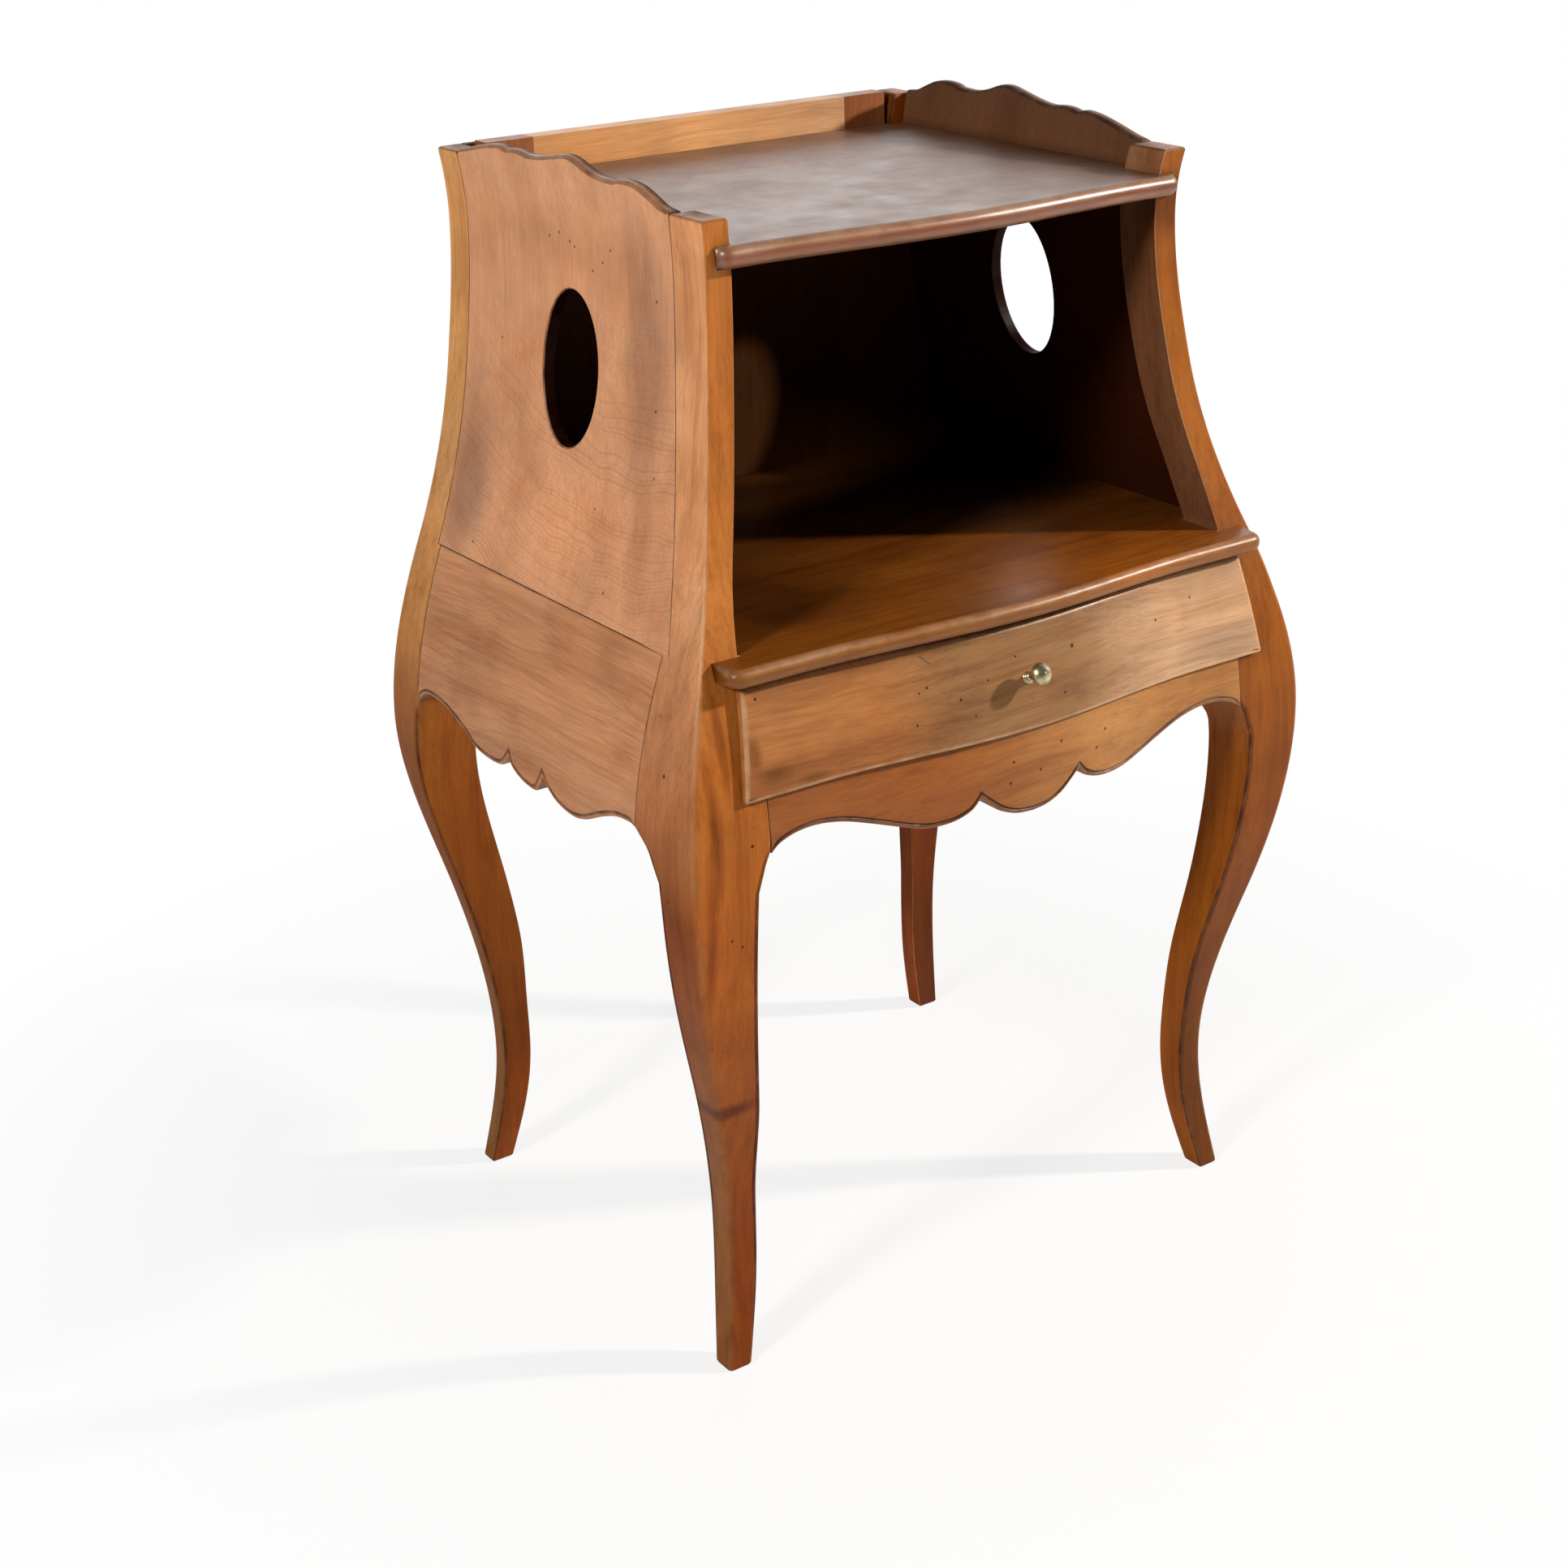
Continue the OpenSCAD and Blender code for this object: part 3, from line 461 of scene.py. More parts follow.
def post(name, side, rear, material):
    """A post as a loft of sections, each drawn from its inner front corner round to its outer front one."""
    curve = REAR_CURVE if rear else FRONT_CURVE
    top = REAR_POST_H if rear else POST_H

    def outer(z):
        return HALF_W + along(curve, z)

    inner_low = [
        (LEG_TOP, outer(LEG_TOP) - WIDTH_AT_TOP), (362, BAY_HALF + 3.5), (369.5, BAY_HALF),
        (SHELF_TOP, BAY_HALF),
    ]

    def inner(z):
        if z < LEG_TOP:
            return outer(z) - along(LEG_WIDTH, z)
        return straight(inner_low, z) if z < SHELF_TOP else neck_x(z)

    front_back = [
        (DEPTH_TOP, front_y(DEPTH_TOP) + DEPTH_AT_TOP), (350, RAIL_FRONT - 25), (368, RAIL_FRONT - 14),
        (RAIL_ARCH_Z, RAIL_FRONT), (PANEL_Z, RAIL_FRONT),
    ]
    rear_front = [(LEG_TOP, back_y(LEG_TOP) - REAR_DEPTH_AT_TOP), (375, RAIL_REAR), (PANEL_Z, RAIL_REAR)]

    def near_y(z):
        if not rear:
            return front_y(z)
        if z < LEG_TOP:
            return back_y(z) - along(REAR_LEG_DEPTH, z)
        return straight(rear_front, z) if z < PANEL_Z else PANEL_REAR

    def far_y(z):
        if rear:
            return back_y(z)
        if z < DEPTH_TOP:
            return front_y(z) + along(LEG_DEPTH, z)
        return straight(front_back, z) if z < PANEL_Z else front_y(z) + STILE_D

    zs = steps(0, 330, 66) + [335, 340, 345, 350, 356, 362, 366, 369.5, 373, 378] + steps(384, 476, 18)
    for z in (PANEL_Z, SHELF_TOP):
        zs += [z - 0.02, z + 0.02]
    zs += steps(492, top, 50)

    # The two ends are rounded: (distance from the end, inset of all sides)
    ends = [(0.0, 1.6), (0.7, 0.5), (1.8, 0.0)]
    levels = ends + [(z, 0.0) for z in zs if 2.5 < z < top - 2.5]
    levels += [(top - z, cut) for z, cut in reversed(ends)]
    rings = []
    for z, cut in levels:
        x0, x1, y0, y1 = inner(z) + cut, outer(z) - cut, near_y(z) + cut, far_y(z) - cut

        # How much of a leg, of a neck, of a full edge and of a pale waist this height has; the pale waist
        # of the front arris is wear and painted highlight
        leg = share_of(z, 376, 368)
        neck = share_of(z, 440, 480)
        foot = min(1.0, (z + 40) / 160)
        worn_and_highlit_waist = max(0.0, 1 - abs(z - 500) / 60)
        beside_rail = z > RAIL_ARCH_Z
        arris = rounding(2.0 + 3.4 * foot * (1 - neck), 0.1 + 0.8 * worn_and_highlit_waist, 0.0)
        plain = rounding(0.8, 0.3, 0.0)
        joint = rounding(0.6, 0.25, 0.9 if beside_rail else 0.2)
        # Inner faces of the posts take painted shade through the inside mark
        inside = 0.45 if z < 470 else 0.8

        # Below the rails the leg's edges carry on the bead of the arches, finer toward the foot, with dirt
        # and painted shade in its groove
        small = [[b + (a - b) * leg * foot for a, b in zip(p, q)] for p, q in zip(bead(0.85), plain)]
        small = [
            (inset, depth, wear, 0.95 * leg if 2 < k < len(small) - 1 else 0.1)
            for k, (inset, depth, wear, _) in enumerate(small)
        ]
        if rear:
            ring = corner(Vector((x0, y0, z)), PX, PY, joint if beside_rail else plain, (0.0, inside))
            ring += corner(Vector((x0, y1, z)), NY, PX, plain, (inside, 0.0))
            ring += corner(Vector((x1, y1, z)), NX, NY, rounding(2.4, 0.4, 0.0))
            ring += corner(Vector((x1, y0, z)), PY, NX, joint if beside_rail else small)
        else:
            ring = corner(Vector((x0, y0, z)), PX, PY, small, (0.0, inside))
            ring += corner(Vector((x0, y1, z)), NY, PX, plain, (inside, inside))
            ring += corner(Vector((x1, y1, z)), NY, NX, joint if beside_rail else small, backward=True)
            ring += corner(Vector((x1, y0, z)), PY, NX, arris)
        dust = 0.9 * min(1.0, max(0.0, z - top + 1.5))
        rings.append([
            (to_frame(side * p.x, p.y, p.z), (wear, max(dirt, dust), inside_shade))
            for p, (wear, dirt, inside_shade) in ring
        ])
    bm = bmesh.new()
    rows = skin(bm, rings)
    bm.faces.new(rows[0])
    bm.faces.new(rows[-1][::-1])
    bmesh.ops.recalc_face_normals(bm, faces=bm.faces)
    piece = finish_wood(name, bm, material)
    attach(piece, "case")
    return piece


# Points of an outline that lie closer than this count as one
SAME_PLACE = 0.02


class Outline:
    """A closed line of (u, v) points, each with the sections of its near and its far edge."""

    def __init__(self):
        self.points = []

    def add(self, points, section, far=0.6):
        """Adds points whose near edge has this section and whose far edge is rounded by far."""
        for u, v in points:
            if not self.points or math.dist(self.points[-1][0], (u, v)) > SAME_PLACE:
                self.points.append(((u, v), section, rounding(far, 0.15, section[-1][3])))

    def add_bead(self, points):
        """Adds points whose near edge has the bead, which dies out at both ends."""
        for place in points:
            near_end = min(math.dist(place, points[0]), math.dist(place, points[-1]))
            self.add([place], bead(0.1 + 0.75 * min(1.0, near_end / 6)), 1.0)

    def closed(self, clockwise=False):
        p = self.points
        if math.dist(p[0][0], p[-1][0]) < SAME_PLACE:
            p = p[:-1]
        area = sum(a[0][0] * b[0][1] - b[0][0] * a[0][1] for a, b in zip(p, p[1:] + p[:1]))
        return p[::-1] if (area < 0) != clockwise else p


def inward(points):
    """Direction at each point that leads into the wood, long enough to move the sides by one."""
    result = []
    n = len(points)
    for i in range(n):
        a, b, c = (Vector(points[k][0]) for k in ((i - 1) % n, i, (i + 1) % n))
        before = (b - a).normalized()
        after = (c - b).normalized()
        first = Vector((-before.y, before.x))
        both = first + Vector((-after.y, after.x))
        if both.length < 1e-4:
            both = first
        both.normalize()
        result.append(both / max(0.5, both.dot(first)))
    return result


def plate(bm, outlines, thickness, place, u_cuts, v_cuts, inside=0.0):
    """A board with shaped edges, made flat, cut into strips and put in place point by point, where place
    takes (u, v, depth). The first outline runs round the wood and the others round its holes. Inside is
    the mark of the far face and of the holes' walls, which gives them painted shade."""
    layers = marks(bm)
    earlier = set(bm.faces)
    caps = ([], [])
    for number, outline in enumerate(outlines):
        round_hole = number > 0
        points = outline.closed(clockwise=round_hole)
        directions = inward(points)
        n = len(points)
        rows = []
        for far in (0, 1):
            for k in range(len(BEAD)):
                inside_shade = far or (round_hole and k > len(BEAD) - 3)
                row = []
                for (start, *sections), direction in zip(points, directions):
                    inset, depth, wear, dirt = sections[far][-1 - k if far else k]
                    moved = Vector(start) + direction * inset
                    vert = bm.verts.new((moved.x, moved.y, thickness - depth if far else depth))
                    for layer, value in zip(layers, (wear, dirt, inside * inside_shade)):
                        vert[layer] = value
                    row.append(vert)
                rows.append(row)
        for low, high in zip(rows, rows[1:]):
            for i in range(n):
                k = (i + 1) % n
                bm.faces.new((low[k], low[i], high[i], high[k]))
        caps[0].append(rows[0])
        caps[1].append(rows[-1])
    for loops in caps:
        edges = [bm.edges.get((row[i], row[(i + 1) % len(row)])) for row in loops for i in range(len(row))]
        bmesh.ops.triangle_fill(bm, use_beauty=True, edges=edges)
    for normal, cuts in ((Vector((1, 0, 0)), u_cuts), (Vector((0, 1, 0)), v_cuts)):
        for cut in cuts:
            faces = set(bm.faces) - earlier
            geom = list(faces | {e for f in faces for e in f.edges} | {v for f in faces for v in f.verts})
            bmesh.ops.bisect_plane(bm, geom=geom, dist=1e-3, plane_co=normal * cut, plane_no=normal)
    faces = set(bm.faces) - earlier
    for v in {v for f in faces for v in f.verts}:
        v.co = place(*v.co)
    bmesh.ops.recalc_face_normals(bm, faces=list(faces))


# Sections of edges that meet a neighbour, and of plain ones
JOINT = rounding(0.5, 0.3, 0.9)
PLAIN = rounding(0.7, 0.3, 0.1)


# Boards of the sides


def share_line(stretches, start, end):
    """Shaped edge given as (share of a length, height) stretches with a nick between them."""
    line = []
    for stretch in stretches:
        for share, height in smooth_line(stretch, 4):
            place = start + (end - start) * share
            if not line or abs(line[-1][0] - place) > 0.01:
                line.append([place, height])
    return line


def beside(side):
    """Puts the points of a flat board on the curved outer face of one side."""

    def place(y, z, w):
        return to_frame(side * (out_x(z) - w), y, z)

    return place


GALLERY_EDGE = [
    [[0, 0], [0.04, 1.5], [0.08, 6], [0.12, 10], [0.165, 11.5], [0.21, 10.8], [0.23, 9.2]],
    [[0.23, 9.2], [0.29, 9], [0.335, 10.8], [0.37, 13.5], [0.405, 16.5], [0.445, 17], [0.51, 14],
     [0.58, 11], [0.63, 10.2], [0.67, 11.2], [0.71, 10.8], [0.735, 9.3]],
    [[0.735, 9.3], [0.76, 11], [0.81, 10], [0.88, 6.5], [0.955, 2], [1, 0]],
]
SCALLOP_EDGE = [
    [[0, 0], [0.03, 0], [0.08, -1.5], [0.14, -7], [0.21, -15.5], [0.265, -18.5], [0.33, -16],
     [0.375, -9.7], [0.397, -4]],
    [[0.397, -4], [0.415, -12], [0.435, -16.5], [0.49, -15.3], [0.538, -10], [0.554, -4]],
    [[0.554, -4], [0.585, -12.2], [0.645, -14], [0.715, -11.5], [0.77, -4], [0.86, 4], [0.935, 6],
     [0.975, 3.5], [1, -3]],
]
APRON_EDGE = [
    [[0, -28.5], [0.063, -27.2], [0.125, -22.7], [0.177, -15.5], [0.208, -10.5]],
    [[0.208, -10.5], [0.24, -16.5], [0.292, -20.5], [0.354, -22], [0.427, -20.7], [0.51, -16], [0.615, -9],
     [0.714, -3], [0.807, 0.1], [0.885, -0.1], [0.948, -3], [1, -8]],
]


def side_panel(name, side, material):
    y0 = front_y(POST_H) + STILE_D + GAP
    y1 = PANEL_REAR - GAP
    tilt = REAR_POST_H + 1 - POST_H
    line = share_line(GALLERY_EDGE, 0, 1)
    if side > 0:
        line = [[1 - s, h] for s, h in reversed(line)]
    gallery = [[y0 + (y1 - y0) * s, POST_H + 1 + tilt * s + h] for s, h in line]
    edge = Outline()
    edge.add([(front_y(z) + STILE_D + GAP, z) for z in steps(PANEL_Z + GAP, POST_H, 40)], JOINT)
    edge.add(gallery, rounding(2.8, 0.4, 0.85), 2.2)
    edge.add([(y1, z) for z in steps(REAR_POST_H - 2, PANEL_Z + GAP, 8)], JOINT)
    edge.add([(y, PANEL_Z + GAP) for y in steps(y1, front_y(PANEL_Z) + STILE_D + GAP, 8)], JOINT)
    oval = Outline()
    turn = [2 * math.pi * k / 56 for k in range(56)]
    hole = [(OVAL_Y + OVAL_HALF_W * math.cos(a), OVAL_Z + OVAL_HALF_H * math.sin(a)) for a in turn]
    oval.add(hole, rounding(1.2, 0.3, 1.0), 1.2)
    bm = bmesh.new()
    plate(bm, [edge, oval], PANEL_T, beside(side), [], steps(488, 764, 46), inside=1.0)
    piece = finish_wood(name, bm, material)
    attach(piece, "case")
    return piece


def side_rail(name, side, material):
    low = share_line(SCALLOP_EDGE, RAIL_FRONT + GAP, RAIL_REAR - GAP)
    edge = Outline()
    edge.add_bead([(y, RAIL_ARCH_Z + h) for y, h in low])
    edge.add([(RAIL_REAR - GAP, z) for z in steps(RAIL_ARCH_Z + 5, PANEL_Z - GAP, 6)], JOINT)
    edge.add([(y, PANEL_Z - GAP) for y in steps(RAIL_REAR - GAP, RAIL_FRONT + GAP, 8)], JOINT)
    edge.add([(RAIL_FRONT + GAP, z) for z in steps(PANEL_Z - GAP, RAIL_ARCH_Z + 6, 6)], JOINT)
    bm = bmesh.new()
    plate(bm, [edge], RAIL_T, beside(side), [], steps(358, 478, 20), inside=0.3)
    piece = finish_wood(name, bm, material)
    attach(piece, "case")
    return piece


# Boards across the case


def nose_line(half, r, front):
    """Plan line of a board's bowed front from left to right, with corners of radius r."""
    turn = [math.pi / 2 * k / 6 for k in range(7)]
    left = [(-half + r - r * math.cos(a), front + r - r * math.sin(a)) for a in turn]
    middle = [(x, front - 0.8 * sweep(x)) for x in steps(-half + r + 2, half - r - 2, 60)]
    return left + middle + [(-x, y) for x, y in reversed(left)]


def table_top(material):
    nose = nose_line(TOP_HALF, 7.0, -HALF_D - TOP_OVERHANG)
    post_face = front_y(TOP_Z) - 0.7
    inner = neck_x(TOP_Z) - GAP
    panel = out_x(TOP_Z) - PANEL_T - 0.25
    post_back = front_y(TOP_Z) + STILE_D + GAP
    edge = Outline()
    edge.add(nose, rounding(6.2, 0.3, 0.0), 6.2)
    edge.add([(TOP_HALF, post_face), (inner, post_face)], JOINT)
    edge.add([(inner, post_back), (panel, post_back), (panel, PANEL_REAR - GAP)], JOINT)
    edge.add([(inner, PANEL_REAR - GAP), (inner, MIRROR_Y - 1)], JOINT)
    edge.add([(-inner, MIRROR_Y - 1), (-inner, PANEL_REAR - GAP)], JOINT)
    edge.add([(-panel, PANEL_REAR - GAP), (-panel, post_back), (-inner, post_back)], JOINT)
    edge.add([(-inner, post_face), (-TOP_HALF, post_face)], JOINT)
    bm = bmesh.new()

    def place(x, y, w):
        z = TOP_Z - w
        return to_frame(x * out_x(z) / out_x(TOP_Z), y, z)

    plate(bm, [edge], TOP_T, place, steps(-170, 170, 10), steps(-150, 120, 6))
    piece = finish_wood("table_top_board", bm, material)
    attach(piece, "case")
    return piece


def shelf(material):
    corner_x = out_x(SHELF_TOP) - 7
    side_x = out_x(SHELF_TOP) - PANEL_T - 0.5
    nose = nose_line(corner_x, 9.0, front_y(SHELF_TOP) - SHELF_OVERHANG)
    post_face = front_y(SHELF_TOP) - GAP
    post_back = front_y(SHELF_TOP) + STILE_D + GAP
    edge = Outline()
    edge.add(nose, rounding(5.4, 0.3, 0.0), 5.4)
    edge.add([(corner_x, post_face), (BAY_HALF - GAP, post_face)], JOINT)
    edge.add([(BAY_HALF - GAP, post_back), (side_x, post_back), (side_x, RAIL_REAR - GAP)], JOINT)
    edge.add([(BAY_HALF - GAP, RAIL_REAR - GAP), (BAY_HALF - GAP, PANEL_REAR)], JOINT)
    edge.add([(-BAY_HALF + GAP, PANEL_REAR), (-BAY_HALF + GAP, RAIL_REAR - GAP)], JOINT)
    edge.add([(-side_x, RAIL_REAR - GAP), (-side_x, post_back), (-BAY_HALF + GAP, post_back)], JOINT)
    edge.add([(-BAY_HALF + GAP, post_face), (-corner_x, post_face)], JOINT)
    bm = bmesh.new()

    def place(x, y, w):
        return to_frame(x, y, SHELF_TOP - w)

    plate(bm, [edge], SHELF_T, place, steps(-200, 200, 10), steps(-200, 120, 8))
    piece = finish_wood("shelf_board", bm, material)
    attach(piece, "case")
    return piece


def front_apron(material):
    half = share_line(APRON_EDGE, 0, BAY_HALF - GAP)
    both = [[-x, h] for x, h in reversed(half[1:])] + half
    low = [[x, APRON_ARCH_Z + h] for x, h in both]
    back = front_y(APRON_TOP) + APRON_T
    edge = Outline()
    edge.add_bead(low)
    edge.add([(BAY_HALF - GAP, z) for z in steps(376, APRON_TOP, 6)], JOINT)
    edge.add([(x, APRON_TOP) for x in steps(BAY_HALF - GAP, GAP - BAY_HALF, 24)], PLAIN)
    edge.add([(GAP - BAY_HALF, z) for z in steps(APRON_TOP, 376, 6)], JOINT)
    bm = bmesh.new()

    def place(x, z, w):
        front = front_y(z) - sweep(x)
        return to_frame(x, front + (back - front) * w / APRON_T, z)

    plate(bm, [edge], APRON_T, place, steps(-186, 186, 42), steps(352, 420, 9), inside=0.3)
    piece = finish_wood("front_apron_board", bm, material)
    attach(piece, "case")
    return piece


def lip_half(z):
    """Half the width of the drawer's front, which narrows upward."""
    return BAY_HALF + 17.5 - 9 * (z - DRAWER_Z) / (DRAWER_TOP - DRAWER_Z)


def proud(z):
    """How far the drawer's front stands out of the case."""
    return 5 + 3 * (z - DRAWER_Z) / (DRAWER_TOP - DRAWER_Z)


def drawer_front(material):
    """A lip that covers the opening's edges, and the block behind it that stands in the opening."""
    edge = Outline()
    low, high = lip_half(DRAWER_Z), lip_half(DRAWER_TOP)
    soft = rounding(3.2, 0.6, 0.0)
    edge.add([(x, DRAWER_Z) for x in steps(-low + 2, low - 2, 50)], soft)
    edge.add([(low - 0.6, DRAWER_Z + 0.6)], soft)
    edge.add([(lip_half(z), z) for z in steps(DRAWER_Z + 2, DRAWER_TOP - 2, 8)], soft)
    edge.add([(high - 0.6, DRAWER_TOP - 0.6)], soft)
    edge.add([(x, DRAWER_TOP) for x in steps(high - 2, -high + 2, 50)], soft)
    edge.add([(-high + 0.6, DRAWER_TOP - 0.6)], soft)
    edge.add([(-lip_half(z), z) for z in steps(DRAWER_TOP - 2, DRAWER_Z + 2, 8)], soft)
    edge.add([(-low + 0.6, DRAWER_Z + 0.6)], soft)
    bm = bmesh.new()

    def place(x, z, w):
        back = front_y(z) - sweep(x) - 0.5
        return to_frame(x, back - (proud(z) - 0.5) * (1 - w / LIP_T), z)

    plate(bm, [edge], LIP_T, place, steps(-200, 200, 44), steps(408, 466, 9))

    block = Outline()
    top = DRAWER_TOP - 0.2
    corners = [(-BLOCK_HALF, BLOCK_Z), (BLOCK_HALF, BLOCK_Z), (BLOCK_HALF, top), (-BLOCK_HALF, top)]
    block.add(corners, PLAIN)

    def place_block(x, z, w):
        front = front_y(z) - sweep(x) - 1.5
        return to_frame(x, front + (BLOCK_INNER - front) * w / BLOCK_T, z)

    plate(bm, [block], BLOCK_T, place_block, steps(-185, 185, 30), steps(432, 464, 5))
    piece = finish_wood("drawer_front_board", bm, material)
    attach(piece, "drawer")
    return piece


def knob(material):
    """The turned knob: a base, a thin neck and a bulb with a small point, as [radius, length] places."""
    r = KNOB_R
    key = [
        [0, 0], [4.1, 0], [4.4, 0.3], [4.4, 1.2], [4.0, 1.8], [3.3, 2.3], [3.0, 3.2], [3.3, 3.8],
        [3.35, 4.4], [2.85, 5.2], [2.75, 6.8], [3.0, 8.4], [3.6, 9.8], [0.72 * r, 12.1], [0.93 * r, 13.3],
        [r, 14.7], [0.95 * r, 16.5], [0.74 * r, 18.4], [0.46 * r, 19.7], [0.2 * r, 20.7], [0.14 * r, 21.3],
        [0, KNOB_L - 0.05],
    ]
    profile = smooth_line(key, 3)
    turns = 48
    seat = Vector((0, KNOB_SEAT, KNOB_Z))
    axis = Vector((0, -math.cos(KNOB_TILT), math.sin(KNOB_TILT)))
    up = Vector((0, math.sin(KNOB_TILT), math.cos(KNOB_TILT)))

    def point(radius, length, angle):
        return to_frame(*(seat + axis * length + radius * (math.cos(angle) * PX + math.sin(angle) * up)))

    bm = bmesh.new()
    rings = [
        [(point(radius, length, 2 * math.pi * k / turns), (0.0, 0.0, 0.0)) for k in range(turns)]
        for radius, length in profile[1:-1]
    ]
    rows = skin(bm, rings)
    for row, (radius, length) in ((rows[0], profile[0]), (rows[-1], profile[-1])):
        tip = bm.verts.new(point(radius, length, 0))
        for i in range(turns):
            bm.faces.new((row[i], row[(i + 1) % turns], tip))
    bmesh.ops.recalc_face_normals(bm, faces=bm.faces)
    piece = finish_mesh("knob_turned", bm, material)
    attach(piece, "drawer")
    return piece


# Materials


# For each way of the grain, the axes along it and across it
GRAIN = {"X": (0, 1, 2), "Y": (1, 2, 0), "Z": (2, 0, 1)}

# Factors for streaks, broad bands, reddish places, holes, dirt with painted shade in grooves, and painted
# shade on inside faces
DARKER = (0.42, 0.27, 0.17)
BANDS = (0.78, 0.7, 0.62)
WARMER = (1.05, 0.98, 0.9)
HOLLOW = (0.16, 0.09, 0.05)
GRIME_AND_SHADE = (0.13, 0.08, 0.06)
INSIDE_SHADE = (0.07, 0.035, 0.02)

# Colour of worn edges, which also serves as painted highlight
WORN_AND_HIGHLIGHT = linear(222, 182, 142)


def reach(s, place, middle, radii):
    """How far out a place lies in an ellipsoid in case millimetres: 0 at its middle, 1 at its skin."""
    away = s.vector("SUBTRACT", place, to_frame(*middle))
    return s.length(s.vector("MULTIPLY", away, [1000 / r for r in radii]))


def on_side(y, z):
    """A point of the left side's outer face."""
    return (-out_x(z), y, z)


def on_drawer(x, z):
    return (x, front_y(z) - sweep(x) - proud(z), z)


def on_apron(x, z):
    return (x, front_y(z) - sweep(x), z)


def wood(name, side, front=None, outer=None, low=(), axis="Z", streaks=0.5, clouds=0.4, rings=None,
         specks=0.3, shades=(), patches=(), spots=(), gloss=0.4, shine=0.25, matt=0.0, relief=0.35):
    """Waxed fruitwood with its grain along axis. Its faces have the sRGB colour side, or front where they
    look to the front, and outer is a factor where they look to the right; the paler side colour, the warmer
    front colour and outer are partly painted light and painted shade. Low lists how both colours change
    downward, as (start, end, side colour, front colour). Shades are (axis, start, end, factors), soft
    patches (middle, radii, factors) and small holes (middle, radii, strength), all in case millimetres;
    some shades and patches are painted shade and painted light. Rings are growth rings."""
    s = Shader(name)
    place = s.coordinates("Object")
    parts = s.node("ShaderNodeSeparateXYZ")
    s.put(parts.inputs[0], place)
    height = parts.outputs[2]

    # Noises that are stretched along the grain and differ from piece to piece
    joined = s.node("ShaderNodeCombineXYZ")
    for slot, source in enumerate(GRAIN[axis]):
        s.put(joined.inputs[slot], parts.outputs[source])
    chance = s.times(s.node("ShaderNodeObjectInfo").outputs["Random"], 9.0)
    grain = s.vector("ADD", joined.outputs[0], chance)
    drift = s.noise(s.vector("MULTIPLY", grain, (3.5, 9.0, 9.0)), 1.0, 2.0, output="Color")
    bend = s.vector("MULTIPLY", s.vector("SUBTRACT", drift, (0.5, 0.5, 0.5)), (0.0, 0.03, 0.03))
    wavy = s.vector("ADD", grain, bend)
    fibre = s.noise(s.vector("MULTIPLY", wavy, (26, 1100, 1100)), 1.0, 2.0, 0.6)
    streak = s.noise(s.vector("MULTIPLY", wavy, (5.5, 180, 180)), 1.0, 3.0, 0.72)
    broad = s.noise(s.vector("MULTIPLY", wavy, (2.5, 30, 30)), 1.0, 2.0)
    cloud = s.noise(grain, 16.0, 3.0, 0.6)

    # Colour by height and by the way a face looks, partly painted light and painted shade
    tone = linear(*side)
    ahead = linear(*(front or side))
    for start, end, below, below_ahead in low:
        share = s.spread(height, start / 1000, end / 1000)
        tone = s.mix(share, tone, linear(*below))
        ahead = s.mix(share, ahead, linear(*below_ahead))
    facing = s.node("ShaderNodeSeparateXYZ")
    s.put(facing.inputs[0], s.coordinates("Normal"))
    if outer:
        tone = s.tint(s.spread(facing.outputs[0], 0.2, 0.7), tone, outer)
    if front:
        tone = s.mix(s.spread(s.times(facing.outputs[1], -1.0), 0.45, 0.85), tone, ahead)

    # Bands, clouds and streaks
    tone = s.tint(s.spread(s.noise(grain, 24.0, 2.0), 0.35, 0.7), tone, WARMER)
    tone = s.tint(s.spread(broad, 0.36, 0.7, 0.0, min(1.0, 0.3 + 1.4 * streaks)), tone, BANDS)
    tone = s.tint(s.times(s.spread(cloud, 0.46, 0.78), clouds), tone, DARKER)
    tone = s.tint(s.times(s.spread(streak, 0.44, 0.76), streaks), tone, DARKER)

    # Shades along an axis and patches with ragged edges, among them painted shade and painted light
    for way, start, end, factors in shades:
        shift = FRAME_Y if way == "Y" else 0.0
        share = s.spread(parts.outputs["XYZ".index(way)], (start + shift) / 1000, (end + shift) / 1000)
        tone = s.tint(share, tone, factors)
    ragged = s.spread(cloud, 0.3, 0.7, -0.3, 0.3)
    for middle, radii, factors in patches:
        share = s.spread(s.maths("ADD", reach(s, place, middle, radii), ragged), 1.1, 0.3)
        tone = s.tint(share, tone, factors)

    # Growth rings of uneven strength, then fibres
    if rings:
        away = s.vector("SUBTRACT", place, to_frame(*rings["middle"]))
        length = s.length(s.vector("MULTIPLY", away, rings["across"]))
        wander = s.spread(s.noise(place, rings["wander"], 1.0), 0, 1, 0, 0.02)
        phase = s.maths("DIVIDE", s.maths("ADD", length, wander), rings["gap"])
        line = s.maths("POWER", s.maths("FRACT", phase), 1.8)
        each = s.node("ShaderNodeTexWhiteNoise", noise_dimensions="1D")
        s.put(each.inputs["W"], s.maths("FLOOR", phase))
        line = s.times(line, s.spread(each.outputs["Value"], 0.1, 1.0, 0.15, 1.0))
        fade = s.spread(height, *rings["heights"], rings["strength"], 0.0)
        tone = s.tint(s.times(line, fade), tone, DARKER)
    level = s.node("ShaderNodeCombineColor")
    for socket in level.inputs[:3]:
        s.put(socket, s.spread(fibre, 0.25, 0.75, 0.84, 1.13))
    tone = s.mix(1.0, tone, level.outputs[0], "MULTIPLY")

